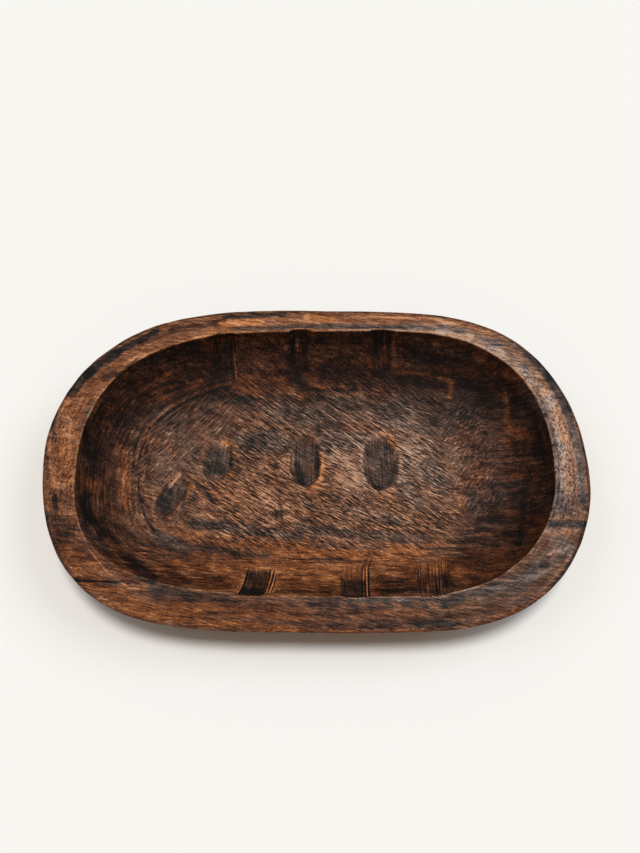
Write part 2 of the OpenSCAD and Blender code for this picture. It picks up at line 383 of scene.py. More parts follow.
def round_noise(period, seed, drift=0.0):
    """Noise that runs round the bowl without a break: the mouth's walk is bent into a circle of
    the noise plane. A drift moves the circle from row to row."""
    u = np.cos(mouth_turn) * mouth_radius / period + CIRCLE_MIDDLE
    v = np.sin(mouth_turn) * mouth_radius / period + CIRCLE_MIDDLE
    return noise(u + drift, v + 0.37 * drift, seed)


print("noise from and to:", np.round([noise(x, y, 1).min(), noise(x, y, 1).max()], 2))

# %% [markdown]
# ## Gouge dents in the floor
# Four dents are left where a wide gouge dug in across the bowl. Each could be a sculpted brush
# stroke, but a dent is simple: a rounded oblong with a place, a length, a width, a depth and a
# turn. It is deepest in the middle, steep at its edge, and has a low lip where the wood bulged.

# %% Floor dents
# Place, length, width, depth, turn and steepness, in mm and degrees
DENTS = (
    (-130.9, -19.6, 43, 21, 3.2, -31, 2.6),
    (-90.5, 15.4, 39, 27, 1.8, -8, 2.2),
    (-10.2, 14.3, 48, 28.5, 4.6, 0, 3.6),
    (58.6, 13.1, 51.5, 33, 4.4, 3, 3.4),
)
DENT_POWER = 2.3
LIP = 0.28
GROOVE, GROOVE_WIDE, GROOVE_LONG = 0.35, 1.9, 30
DENT_STRIPES = 0.32


def dent_share(dent):
    """Distance from a dent's middle as a share of its edge, and the place across it, in mm."""
    cx, cy, length, width, _, turn, _ = dent
    along, across = turned(x - cx, y - cy, 90 + turn)
    powers = np.abs(along / length * 2) ** DENT_POWER + np.abs(across / width * 2) ** DENT_POWER
    return powers ** (1 / DENT_POWER), across


carved = np.zeros(skin.shape[:2])
in_gouge = np.zeros(skin.shape[:2])
stripe_weight = np.zeros(skin.shape[:2])
gouge_place = np.zeros(skin.shape)
for k, dent in enumerate(DENTS):
    share, across = dent_share(dent)
    inside = np.clip(1 - share ** dent[6], 0, 1) * in_hollow
    grooves = noise(across / GROOVE_WIDE, y / GROOVE_LONG, 40 + k) - 0.5
    carved -= dent[4] * inside - GROOVE * grooves * eased(0, 0.4, inside)
    carved += LIP * np.exp(-((share - 1.07) / 0.09) ** 2) * in_hollow
    here = eased(0.02, 0.35, inside)
    gouge_place[here > 0] = np.stack([across, y, 0 * x + 100 * k], -1)[here > 0]
    in_gouge = np.maximum(in_gouge, here)
    stripe_weight = np.maximum(stripe_weight, DENT_STRIPES * here)
print("deepest dent in mm:", round(float(-carved.min()), 2))

# %% [markdown]
# ## Gouge strokes down the walls
# Three strokes run down the back wall and three down the front wall, where the gouge bit into the
# mouth's edge on its way in. A stroke is a shallow trough: its place across is measured along x
# from a middle line that may lean, and it fades out before the crease. Some keep the fine ridges
# of a nicked blade.

# %% Wall strokes
# Middle at the mouth, shift on the way down, side, width, depth, share where it ends, ridge height
STROKES = (
    (-86.8, 4, 1, 25, 1.3, 0.92, 0.18),
    (-15.9, 0, 1, 20, 1.9, 0.96, 0.25),
    (57.0, 2, 1, 21, 1.8, 0.7, 0.15),
    (-53.5, 8, -1, 32, 1.8, 0.85, 0.5),
    (35.0, 1, -1, 26, 1.5, 0.95, 0.45),
    (101.0, 3, -1, 31, 1.3, 0.9, 0.3),
)
NARROWING = {1: 0.35, -1: 0.1}
RIDGE_WIDE, RIDGE_LONG = 1.6, 1.5
STRONG_STRIPES, WEAK_STRIPES = 0.6, 0.35


def stroke_share(stroke):
    """0 on a stroke's middle line and 1 at its sides, how far down it is, and mm across it."""
    middle, shift, side, width = stroke[:4]
    across = x - middle - shift * wall_share
    down = wall_share / stroke[5]
    narrowed = 1 - NARROWING[side] * eased(0.4, 1, down)
    return np.abs(across) / (width / 2 * narrowed), down, across


for k, stroke in enumerate(STROKES):
    share, down, across = stroke_share(stroke)
    here = (zone >= INNER_EDGE) & (y * stroke[2] > 20)
    depth = np.clip(1 - share ** 3, 0, 1) * (1 - eased(0.72, 1.02, down)) * here
    ridges = noise(across / RIDGE_WIDE, wall_share * RIDGE_LONG, 60 + k) - 0.5
    carved -= stroke[4] * depth + stroke[6] * ridges * eased(0, 0.3, depth)
    deep = eased(0.02, 0.25, depth)
    gouge_place[deep > 0] = np.stack([across, below_mouth, 0 * x + 100 * (k + 7)], -1)[deep > 0]
    in_gouge = np.maximum(in_gouge, deep)
    strong = stroke[2] > 0 or stroke is STROKES[-1]
    stripes = STRONG_STRIPES if strong else WEAK_STRIPES
    stripe_weight = np.maximum(stripe_weight, stripes * deep)
print("deepest carving in mm:", round(float(-carved.min()), 2))

# %% [markdown]
# ## Scrape marks, crease and facets
# The rest of the hollow was worked with short strokes: slanting scrapes on the floor, strokes down
# the end walls, and long ones round the left end that left rings just above the crease. These are
# noises stretched along the stroke, each kept to its own ground by a weight.

# %% Grounds of the marks
floorward = eased(-14, 10, -above_crease) * hollow
wallward = (1 - floorward) * hollow
front_wall = wallward * eased(-62, -84, y)
left_end = eased(-95, -140, x)
right_end = eased(105, 150, x)
print("points on the floor and on the front wall:", int(floorward.sum()), int(front_wall.sum()))

# %% Scrapes
SCRAPE_TURN = -29
# Depths in mm
SCRAPE, SWELL, END_STROKES, WALL_STROKES = 0.2, 0.5, 0.5, 0.25

slant_u, slant_v = turned(x, y, SCRAPE_TURN)
slant = noise(slant_u / 34, slant_v / 2.6, 1) - 0.5
slant += 0.7 * (noise(slant_u / 22, slant_v / 1.9, 2) - 0.5)
across_floor = noise(x / 45, y / 2.8, 3) - 0.5
down_wall = round_noise(6, 4, 0.03 * below_mouth) - 0.5
round_wall = noise(x / 40, above_crease / 3.1, 5) - 0.5
swell = noise(x / 46, y / 30, 6) + 0.5 * noise(x / 19, y / 17, 7) - 0.75

carved += SCRAPE * floorward * slant * (1 - right_end)
carved += SCRAPE * floorward * across_floor * right_end
carved += SWELL * hollow * swell
carved += END_STROKES * wallward * down_wall * np.maximum(left_end, right_end)
carved += WALL_STROKES * wallward * round_wall
print("scrapes from and to, in mm:", np.round([SCRAPE * slant.min(), SCRAPE * slant.max()], 2))

# %% Crease and rings
CREASE, CREASE_WIDE = 0.75, 1.2
# Distance above the crease and depth
RINGS = ((4.5, 0.3), (9, 0.22), (13.5, 0.15))
RING_WIDE = 1.1
crease_strength = np.maximum.reduce([
    0.8 * left_end,
    0.8 * eased(-24, -12, x) * eased(44, 34, x) * (y > 0),
    0.65 * eased(60, 10, x) * (y < -20),
    0.25 * hollow,
])
crease = CREASE * crease_strength * np.exp(-(above_crease / CREASE_WIDE) ** 2) * hollow
for distance, depth in RINGS:
    ring = np.exp(-((above_crease - distance) / RING_WIDE) ** 2)
    carved -= depth * ring * hollow * left_end * eased(-50, 10, y)
print("deepest crease in mm:", round(float(crease.max()), 2))

# %% Notch and facets
# Place, half length along x and along y, and depth of a nick low in the right wall
NOTCH_X, NOTCH_Y, NOTCH_LONG, NOTCH_WIDE, NOTCH_DEPTH = 175.9, -65.7, 5, 3.2, 1.6
FACET, FACET_LONG, FACET_FADE = 1.1, 23, 9
notch_share = np.hypot((x - NOTCH_X) / NOTCH_LONG, (y - NOTCH_Y) / NOTCH_WIDE)
carved -= NOTCH_DEPTH * np.clip(1 - notch_share, 0, 1) * (zone == WALL)

# The mouth's edge was cut in short facets, most of all at the right end
facets = FACET * (round_noise(FACET_LONG, 8) - 0.62) * (0.35 + 0.65 * right_end)
carved += facets * np.exp(-below_mouth / FACET_FADE) * (zone >= INNER_EDGE)
print("carved from and to, in mm:", np.round([carved.min(), carved.max()], 2))

# %% [markdown]
# ## The rim
# The rim was planed by hand. It sinks and rises by half a millimetre, and it may only be lower
# than the packed model, never higher or wider. Where a stroke bites into the mouth's edge, the
# nearest rows of the rim slide outwards with it, so that no face folds over.

# %% Rim
RIM_SUNK, BITE_REACH = 0.45, 9
on_rim = (zone >= OUTER_EDGE) & (zone <= INNER_EDGE)
planed = noise(x / 42, y / 30, 9) + 0.35 * noise(x / 16, y / 7, 10)
sunk = RIM_SUNK * planed * on_rim
ragged = 0.7 * round_noise(31, 11) + 0.35 * round_noise(9, 12)
outer_side = (zone <= OUTER_EDGE) * eased(20, 45, skin[..., 2])

moved = skin + normal * np.where(in_hollow, carved, 0)[..., None]
flat_normal = normal * (1, 1, 0)
flat_normal /= np.maximum(np.linalg.norm(flat_normal, axis=-1, keepdims=True), 1e-9)
bite = -np.minimum(carved[mouth_row + 1], 0)
near_mouth = np.clip(1 + below_mouth / BITE_REACH, 0, 1) ** 2
near_mouth = near_mouth * ((zone == RIM_TOP) | (zone == INNER_EDGE))
outward = -flat_normal[mouth_row + 1]
moved += outward[None] * (bite * near_mouth)[..., None]
moved[..., 2] -= sunk
print("deepest bite into the mouth's edge in mm:", round(float(bite.max()), 2))

# %% Blending wall and floor
# The gouge blended them, least at the left end, where the crease stayed
BLEND_REACH, BLEND_ROUNDS = 11, 120
blended = 0.5 * np.exp(-(above_crease / BLEND_REACH) ** 2) * hollow * (1 - 0.55 * left_end)
for _ in range(BLEND_ROUNDS):
    between = (moved[:-2] + moved[2:]) / 2
    moved[1:-1] += blended[1:-1, :, None] * (between - moved[1:-1])
moved -= flat_normal * (ragged * outer_side)[..., None]
moved[..., 2] -= crease
moved = np.clip(moved, (-HALF_LENGTH, -HALF_WIDTH, 0), (HALF_LENGTH, HALF_WIDTH, HEIGHT))
print("skin in mm:", np.round(moved.min((0, 1)), 1), np.round(moved.max((0, 1)), 1))

# %% [markdown]
# ## Where the stain went, with painted shade and light
# The maker rubbed dark stain over the whole bowl and wiped it back. What stayed is uneven: nearly
# black on the steep walls, darker still there with painted shade, thin and golden along the rim,
# greyish where it dried on top. Two measures hold this at every point: how much stain there is,
# with painted shade and light added into it, and how warm the wood looks. They start from plain
# values for rim, walls and floor, which differ from side to side of the bowl.

# %% Plain values
FLOOR_STAIN, FLOOR_WARM = 0.465, 0.55
OUTSIDE_STAIN, OUTSIDE_WARM = 0.50, 0.7
# Left, right, back and front
RIM_STAINS, RIM_WARMS = (0.37, 0.29, 0.37, 0.57), (0.85, 0.20, 0.75, 0.55)
# The walls' values hold painted light as well as stain: painted shade on the left, right and back
# walls, and painted light from behind on the front wall, which is why it is far paler.
WALL_STAIN_AND_LIGHT, WALL_WARMS = (0.68, 0.72, 0.665, 0.43), (0.85, 0.85, 0.90, 1.00)
FLOORWARD = 0.75

side_x = np.broadcast_to(x[mouth_row] / HALF_LENGTH, x.shape)
side_y = np.broadcast_to(y[mouth_row] / HALF_WIDTH * 1.25, x.shape)


def by_side(values):
    """One value from four: their mean, weighted by how far a point faces to each side."""
    weights = [eased(0.15, 0.95, facing) for facing in (-side_x, side_x, side_y, -side_y)]
    total = sum(weights) + 1e-6
    return sum(value * weight for value, weight in zip(values, weights)) / total


def plain(rims, walls, floor, outside):
    """A measure on the whole bowl: by side on the rim and walls, and a mix towards the floor."""
    low_wall = FLOORWARD * eased(0.35, 1.0, wall_share)
    wall = by_side(walls)
    wall = wall + (floor - wall) * low_wall
    on_floor = floor + (wall[crease_row][None] - floor) * eased(-30, 0, above_crease)
    inside = np.where(zone == FLOOR_ZONE, on_floor, wall)
    top = np.where(in_hollow, inside, by_side(rims))
    return np.where(zone <= OUTER_EDGE, outside, top)


stain_and_painted_light = plain(RIM_STAINS, WALL_STAIN_AND_LIGHT, FLOOR_STAIN, OUTSIDE_STAIN)
warm = plain(RIM_WARMS, WALL_WARMS, FLOOR_WARM, OUTSIDE_WARM)
# Painted shade: the floor and walls of the hollow are darker towards the back and both ends, a
# little less at the far right
stain_and_painted_light += hollow * (
    0.10 * eased(30, 75, y) + 0.08 * eased(-60, -130, x)
    + 0.17 * eased(85, 150, x) - 0.06 * eased(150, 190, x)
)
print("stain from and to:", np.round([stain_and_painted_light.min(), stain_and_painted_light.max()], 2))

# %% [markdown]
# ## Brush strokes
# A noise alone can't put a mark where this bowl has it, and a painted picture would be one fixed
# size. So marks are laid as brush strokes, as on paper: each is a line between two places with a
# width, and adds some stain and some warmth; a few lay painted shade and painted highlights
# instead of stain. Places are pixels of the photograph, seen through the
# camera above, which is how a stroke was placed.

# %% The brush
ragged_noise = 0.6 * noise(photo_x / 5.5, photo_y / 5.5, 21)
ragged_noise += 0.4 * noise(photo_x / 2.1, photo_y / 2.1, 22)
rim_ground = ((zone >= OUTER_EDGE) & (zone <= INNER_EDGE)).astype(float)


def brush(x0, y0, x1, y1, width, ground):
    """1 on the line between two pixels of the photograph, 0 beyond half the width. The line's
    distance is bent by noise, so the stroke has a ragged edge."""
    dx, dy = x1 - x0, y1 - y0
    long = max(math.hypot(dx, dy), 1e-3)
    t = ((photo_x - x0) * dx + (photo_y - y0) * dy) / long
    off = np.hypot(t - np.clip(t, 0, long), ((photo_x - x0) * dy - (photo_y - y0) * dx) / long)
    off = off + (ragged_noise - 0.5) * min(width, 9) * 0.5
    return (1 - eased(0.5, 1.25, off / (width / 2))) * ground


def paint(strokes, ground, strength=1.0):
    """Lays strokes: x and y of both ends, width, and hundredths of darkening and of warmth.
    Most are stained wood; a few are painted shade and painted highlights.
    """
    if isinstance(strokes, str):
        strokes = np.array(strokes.replace(",", " ").split(), float).reshape(-1, 7)
    for *line, width, more_stain_and_light, more_warm in strokes:
        touch = brush(*line, width, ground)
        stain_and_painted_light[:] += strength * more_stain_and_light / 100 * touch
        warm[:] += more_warm / 100 * touch
    print("strokes:", len(strokes))


print("raggedness from and to:", np.round([ragged_noise.min(), ragged_noise.max()], 2))

# %% Strokes on the rim
RIM_STRENGTH = 1.25
# Some of these are painted highlights along the mouth's edge: the thin pale lines from 350 597 to
# 478 587 at the front and from 97 404 to 130 589 at the left end, and the pale strokes from 395 335
# to 551 500 at the back and right.
paint("""
70 393 90 371 10 34 -50, 88 373 118 351 10 34 -50, 116 352 156 332 7 33 -50,
56 398 52 438 6 12 -40, 62 396 72 404 8 -5 10, 66 430 70 480 12 -5 10, 543 556 572 546 3 -14 10,
536 576 558 564 4 -10 0, 548 533 566 532 9 -8 30, 350 597 440 597 1.8 -16 -50,
440 597 478 587 1.8 -16 -50, 446 602 460 600 10 12 -50, 400 607 470 606 14 -5 0,
232 597 258 598 6 -10 0, 420 326 470 332 14 -5 0, 470 332 520 358 16 -5 0, 520 358 552 400 16 -6 0,
552 400 572 450 16 -5 0, 76 568 100 600 10 -6 0, 100 600 146 619 8 -5 0, 380 628 420 628 6 5 0,
576 430 581 484 11 -6 0, 61 404 58 516 26 -3 0, 391 630 399 630.4 2 25 0,
398 630.6 410 630.4 1.6 -30 30, 413 630.2 424 629.8 1.6 -26 30, 330 631.5 352 631.5 1.4 -20 30,
97 404 84 432 1.4 -20 -30, 77 470 75.5 500 1.5 -25 -35, 75.5 500 79 526 1.5 -22 -35,
79 526 90 551 1.4 -20 -30, 90 551 106 571 1.4 -25 -30, 106 571 130 589 1.4 -25 -20,
200 614 420 616 15 -4.5 20, 84 566 140 600 16 -3.5 0, 395 335 460 345 6 -7 -20,
460 345 505 367 6 -9 -30, 505 367 532 395 6 -11 -30, 538 406 546 440 6 -10 -30,
549 476 551 500 6 -8 -30, 84 436 96 404 8 -8 0, 555 436 559 494 8 -7 -20, 58 402 70 440 10 0 -15,
70 440 72 490 8 0 -15, 106 377 114 374 8 20 -10, 116 377 137 359 3 25 -10, 142 343 172 331 6 16 0,
172 331 224 322 6 18 -10, 224 318 284 314 4.5 26 -50, 222 323 262 322 8 -20 30,
130 360 215 333 5 -12 10, 306 318 334 320 8 -16 20, 236 329 330 326 4.5 14 -60,
330 326 434 328 5.5 10 -60, 345 317 420 318 3 -14 10, 434 319 506 336 4 -12 0,
440 327 462 331 7 8 -50, 462 329 500 345 6 5 -50, 500 336 530 352 6 -5 -20,
528 353 548 376 12 17 -90, 548 376 566 408 12 17 -90, 566 408 578 446 9 15 -70,
578 446 584 500 9 12 -60, 520 366 544 392 12 -8 10, 500 340 520 350 7 5 -50,
546 392 562 436 13 -12 15, 564 440 568 500 12 -12 10, 532 398 545 416 7 17 -90,
545 416 554 446 7 18 -90, 554 446 557 490 8 17 -90, 557 490 552 514 7 12 -70,
556 503 586 503 20 10 -10, 546 524 588 524 6 18 -80, 556 536 582 538 12 2 20,
548 556 576 548 8 -4 30, 578 556 546 600 7 18 -60, 528 570 552 560 8 6 10, 540 566 548 566 5 20 0,
486 598 524 586 14 2 -30, 418 625 456 624 8 22 -60, 460 622 530 600 9 6 -30,
50 520 64 540 22 13 -10, 568 532 556 576 26 -8 -10, 64 548 96 566 12 -5 40, 72 556 98 561 4 18 0,
74 581 120 582 2.6 34 -20, 104 584 120 583 6 12 -60, 138 577 152 583 5 14 -60,
154 588 184 594 13 12 -50, 88 580 130 600 16 -1 50, 130 606 196 618 16 -5 60,
196 622 300 629 8 -10 40, 188 598 232 603 10 10 -30, 236 606 300 614 10 5 -20,
311 598 312 610 5 12 -50, 320 599 321 611 4 14 -50, 338 598 338 608 4 12 -50,
300 616 400 620 8 3 -10, 86 412 94 402 7 10 -40, 80 442 87 412 6 12 -40, 49 412 54 440 7 12 -10,
47 450 48 478 5 14 -10, 58 452 60 462 5 10 0, 60 404 74 440 12 -7 0, 55 498 56 508 6 34 -20,
49 486 54 494 5 12 0, 76 484 79 510 2.4 16 -90, 79 510 97 545 2.4 18 -90,
97 545 142 579 2.2 16 -90, 329 598 330 611 5 12 -50, 346 600 452 599 5 2 -60,
460 595 500 584 5 2 -60, 350 603 356 608 8 14 -40, 368 602 372 608 6 14 -40,
386 602 391 607 7 14 -40, 404 603 412 606 7 14 -40, 422 602 427 607 6 14 -40,
438 601 444 606 7 14 -40, 456 600 486 594 6 8 -40
""", rim_ground, RIM_STRENGTH)

# %% Soft patches on the rim and its outer edge
paint("""
500 332 540 364 6 5 0, 540 364 568 408 6 4 0, 568 408 584 450 6 4 0, 584 450 588 495 6 5 0,
588 495 580 535 6 5 0, 580 535 562 562 7 8 0, 562 562 538 586 6 5 0, 500 606 450 618 6 5 10,
450 618 380 627 6 8 10, 380 627 330 629 6 8 10, 228 627 262 627 7 8 10, 110 350 160 328 7 5 0,
160 328 230 317 6 6 0, 230 316 300 312 5 6 0, 340 312 420 314 5 5 0, 58 412 66 424 9 9 0,
60 496 76 504 12 13 -10, 73 486 66 506 8 6 0, 80 522 100 546 10 6 0, 58 454 62 468 8 -8 0,
72 560 118 578 18 -6 10, 200 604 266 611 10 -6 30, 344 602 440 603 8 -6 0, 546 420 556 470 8 -6 0,
556 520 552 556 8 -6 0, 570 560 545 596 10 -4 0, 405 329 440 333 8 -8 0, 440 333 470 338 9 -16 0,
470 338 500 354 10 -15 0, 500 354 530 386 10 -9 0, 500 588 540 574 10 -6 0,
108 603 150 618 8 -6 10, 345 329 440 331 12 0 -40, 440 333 490 346 14 0 -40,
490 346 524 368 16 0 -60, 524 368 548 402 14 0 -60, 548 402 560 450 12 0 -40,
560 450 562 510 14 0 -35, 552 530 570 552 18 0 -40, 490 588 530 576 16 0 -40,
530 576 564 548 18 0 -50, 180 602 300 614 18 0 30, 455 620 520 608 9 0 35, 60 540 80 575 10 0 20,
130 612 200 622 12 0 20, 300 618 322 624 10 0 20, 300 322 345 326 8 0 -20, 410 322 430 326 8 0 -25,
72 494 76 502 8 0 -20, 82 528 92 546 8 8 -20
""", rim_ground, RIM_STRENGTH)

# %% [markdown]
# ## Stain, painted shade and painted light in the dents and strokes
# Stain pools where a gouge dug in, and lies darker inside each dent. Painted shade lies at one end
# or side of a dent, in a crescent and in a ring just inside its edge, and painted light on the lip
# round it: golden on the lit side and a pale highlight on the other. In the front strokes the stain
# stands in part of the width, and a nicked blade left fine parallel ridges beside it. These follow
# the dents and strokes themselves, by formula, so they stay in place when a dent is moved.

# %% Stain, painted shade and painted light in the dents
# Darker, cooler, painted shade at the front, painted shade at the right (below 0 for painted
# light), painted shade in a crescent, painted light on the lip, faded from here back, softness
DENT_STAIN_AND_LIGHT = (
    (0.17, 0.45, 0.20, -0.16, 0.00, 0.06, 0.3, 0.30),
    (0.15, 0.50, 0.08, -0.12, 0.00, 0.03, 0.8, 0.30),
    (0.17, 0.45, 0.14, -0.08, 0.02, 0.15, 0.35, 0.18),
    (0.15, 0.55, 0.04, 0.02, 0.20, 0.14, 1.2, 0.16),
)


def ring_at(share, middle, width):
    """1 along a ring round a dent, at a share of the way out, fading over a width."""
    return np.exp(-((share - middle) / width) ** 2) * hollow


for dent, looks in zip(DENTS, DENT_STAIN_AND_LIGHT):
    darker, cooler, front_shade, right_shade, crescent_shade, lit_lip_paler, fade, soft = looks
    share, across = dent_share(dent)
    along = turned(x - dent[0], y - dent[1], 90 + dent[5])[0] / dent[2] * 2
    sideways = -across / dent[3] * 2
    inside = eased(1.02, 0.9 - soft, share) * hollow * eased(fade + 0.7, fade, along)
    # The one-sided ring on the lip is painted light on its lit side, the thin pale ring is a
    # painted highlight on the other side, and the crescent and the ring just inside the edge are
    # painted shade.
    lit_lip = ring_at(share, 1.16, 0.11) * (0.5 + 0.5 * np.tanh(2 * (sideways - 0.3 * along)))
    lip_highlight = ring_at(share, 1.08, 0.07) * eased(0.3, -0.5, sideways + 0.5 * along)
    shaded_crescent = ring_at(share, 0.84, 0.12) * eased(-0.1, 0.5, sideways - 0.4 * along)
    edge = ring_at(share, 0.93, 0.08) * eased(0.7, 0.0, along)
    stain_and_painted_light += inside * (darker - front_shade * along + right_shade * sideways)
    stain_and_painted_light += crescent_shade * shaded_crescent + 0.12 * edge * (1 - soft) - lit_lip * lit_lip_paler - 0.14 * lip_highlight
    warm += lit_lip * 0.3 - lip_highlight * 0.3 - inside * cooler
print("dents stained:", len(DENT_STAIN_AND_LIGHT))

# %% Stain and ridges in the front strokes
# Stroke, from side to side of it as shares of half its width, share where it ends, stain
POOLS = (
    (3, -0.75, 0.42, 0.46, 0.44), (3, -0.75, 0.42, 0.9, 0.32),
    (4, -1.0, 0.62, 0.66, 0.36), (5, -0.8, 0.9, 0.7, 0.07),
)
# Stroke, from side to side of it, strength
COMBS = ((3, 0.4, 1.1, 1.0), (3, -1.1, -0.65, 0.6), (4, 0.35, 0.95, 0.9), (5, -0.2, 0.6, 0.2))


def in_stroke(k, left, right):
    """1 in part of one stroke, and the share of the way down it."""
    share, down, across = stroke_share(STROKES[k])
    side = across / (STROKES[k][3] / 2)
    here = (zone == WALL) & (y * STROKES[k][2] > 20)
    touch = eased(left - 0.12, left + 0.06, side) * eased(right + 0.12, right - 0.06, side)
    return touch * here, down


for k, left, right, end, more in POOLS:
    touch, down = in_stroke(k, left, right)
    touch = touch * eased(end + 0.06, end - 0.06, down + 0.15 * (ragged_noise - 0.5))
    stain_and_painted_light += more * touch
    warm -= 0.35 * touch
comb = np.zeros_like(x)
for k, left, right, weight in COMBS:
    touch, down = in_stroke(k, left, right)
    comb = np.maximum(comb, weight * touch * eased(1.0, 0.8, down) * eased(-0.05, 0.02, down))
print("combed points:", int((comb > 0).sum()))

# %% [markdown]
# ## Strokes in the hollow
# The same brush lays the marks of the walls and the floor, area by area: drips and smears on the
# walls, rubbed places on the floor, then soft patches that are darker, paler, warmer or greyer.

# %% Strokes on the back wall
HOLLOW_STRENGTH = 1 + 0.3 * (zone == FLOOR_ZONE)
# The tiny pale fleck at 286 346 is a painted glint.
paint("""
221 338 221 384 26 14 -30, 236 338 236 380 2.5 -16 0, 150 362 196 352 22 5 -10,
240 372 288 372 5 14 0, 242 366 286 365 4 -5 10, 240 340 282 340 8 -4 10, 262 380 286 378 4 -6 10,
297 336 297 378 22 26 -20, 297 376 296 389 7 16 -10, 298 341 298 351 4 -36 50,
297 355 298 364 2.2 -26 40, 299 368 299 377 2 -20 30, 231 342 232 384 2 16 0,
312 340 366 340 9 12 0, 380 334 380 370 22 18 -10, 383 350 383 362 8 -16 20,
394 336 394 368 4 -20 20, 401 338 401 364 3 -12 10, 412 352 464 354 28 13 0,
150 404 200 383 7 -12 10, 203 387 222 384 5 -8 10, 232 387 254 396 7 -9 20,
388 372 424 374 4 -24 20, 428 375 440 378 3 -14 30, 440 378 454 382 5 -22 30,
451 384 450 396 3.5 -22 30, 445 396 449 397 4 -14 30, 460 380 506 384 22 10 0,
286 346 286 348 2.5 -60 -60
""", hollow, HOLLOW_STRENGTH)

# %% Strokes at the right end
paint("""
506 394 508 416 5 -20 20, 503 418 512 426 7 -14 20, 508 430 520 436 11 -18 20,
520 430 531 437 8 -14 30, 534 430 540 452 13 10 0, 470 374 522 384 18 -7 0,
500 458 548 452 1.8 25 0, 504 464 550 459 1.8 20 0, 512 470 548 464 1.6 20 0,
528 474 520 540 8 14 -10, 516 400 548 420 12 10 0, 546 420 550 500 10 6 0,
514 476 526 474 6 -16 20, 536 478 538 478 5 -16 20, 496 489 503 489 5 -16 20,
505 500 530 500 3 -16 20, 472 504 500 512 15 8 -10, 446 462 460 500 16 -6 20,
496 504 532 504 11 12 10, 480 520 530 521 7 18 10, 506 534 524 533 10 14 10,
444 541 500 546 3 16 0, 470 554 520 556 14 4 40, 514 542 520 544 4 30 0, 422 544 454 546 3 -20 20,
420 549 456 550 3 12 0
""", hollow, HOLLOW_STRENGTH)

# %% Strokes on the front wall
# The dark lines from 276 591 to 330 592 and from 376 591 to 442 590 are painted shade under the
# overhanging front rim.
paint("""
310 578 342 580 22 -4 10, 372 584 420 585 16 14 -10, 459 570 468 582 8 -12 20,
249 569 241 592 1.8 30 0, 253 569 246 590 1.6 22 0, 270 570 263 592 2 34 0,
268 570 261 591 1.4 -20 30, 274 572 267 590 1.8 28 0, 272 571 265 590 1.3 -16 30,
363 560 363 594 1.8 32 0, 368 560 369 594 1.8 28 0, 365.5 566 366 594 1.4 -18 30,
376 591 442 590 5 20 0, 446 572 452 588 9 12 0, 244 572 237 592 1.5 -16 10,
241 569 234 590 1.4 12 0, 410 578 452 582 18 6 0, 208 580 228 582 13 16 -10,
276 591 330 592 3.5 32 -10, 295 577 299 577 7 14 0, 130 560 150 578 15 26 -10,
108 548 130 562 13 12 10, 170 574 204 584 7 10 10
""", hollow, HOLLOW_STRENGTH)

# %% Strokes at the left end
paint("""
84 498 90 520 12 30 0, 92 520 104 536 10 18 0, 98 522 116 542 12 12 0, 90 420 96 466 22 20 -10,
124 440 126 505 16 -8 20, 104 380 92 430 20 7 0, 120 372 140 362 14 3 0, 110 408 118 416 14 0 30,
136 392 166 376 8 -12 10, 122 470 126 500 14 -8 10, 112 440 124 460 10 -4 0,
104 500 112 516 9 -10 20
""", hollow, HOLLOW_STRENGTH)

# %% Strokes on the floor
# The pale, cool strokes from 402 452 to 430 476 and from 392 412 to 450 470 are a painted sheen on
# the floor right of the fourth dent.
paint("""
161 500 168 512 11 13 -20, 172 482 162 498 2.4 -10 -20, 178 475 168 488 2.4 -15 0,
186 492 182 508 3 14 -20, 176 486 172 506 2.5 -12 -30, 211 466 222 470 13 16 -20,
231 446 231 468 4 14 0, 218 476 232 475 4 -10 50, 222 445 230 444 6 -12 40,
297 465 302 481 9 22 -40, 306 458 314 474 8 -6 30, 318 458 317 478 3 12 0,
293 448 293 470 3 -20 -40, 200 476 232 500 20 -4 10, 142 452 150 426 5 -12 30,
150 426 172 404 5 -10 20, 172 404 205 391 5 -8 20, 208 398 252 400 12 14 -20,
240 442 292 446 17 10 -40, 246 440 280 434 15 8 -40, 272 408 330 430 24 6 -35,
312 404 446 424 26 8 -35, 400 400 470 410 18 6 -20, 320 454 323 466 4.5 -14 30,
323 466 320 480 4.5 -14 30, 320 480 312 487 4 -10 30, 332 456 360 484 26 -14 -10,
402 452 430 476 20 -12 -60, 392 412 450 470 34 -5 -40, 430 470 470 500 26 3 -20,
389 441 395 452 3.5 -14 30, 395 452 397 468 3.5 -14 30, 397 468 393 484 3.5 -12 30,
393 484 385 491 3.5 -10 30, 370 479 376 487 5 16 -20, 377 491 382 491 3 -14 20,
366 468 368 482 1.6 20 0, 370 471 373 486 1.6 20 0, 375 474 380 490 1.6 20 0,
160 410 190 450 26 2 -25, 170 486 180 475 4 -26 0, 192 484 206 504 3 -20 10,
198 483 214 502 3.5 20 -20, 205 482 220 498 3 -18 10, 193 523 300 536 11 16 -50,
300 528 425 540 11 12 -40, 310 508 400 520 10 8 -20, 156 534 186 550 15 14 -60,
196 548 264 556 9 14 -30, 160 564 240 568 8 -6 40, 280 552 390 556 12 -8 40,
424 486 460 506 22 -6 10, 390 548 422 552 14 -10 30, 230 490 290 506 22 -8 0,
210 450 236 440 8 -6 10, 275 507 277 521 1.8 25 -20, 281 507 282 521 1.8 22 -20,
270 512 288 510 1.6 20 -10, 300 389 354 390 2.5 26 -10, 276 559 338 560 2.2 30 -10,
486 432 487 434 3 50 0
""", hollow, HOLLOW_STRENGTH)

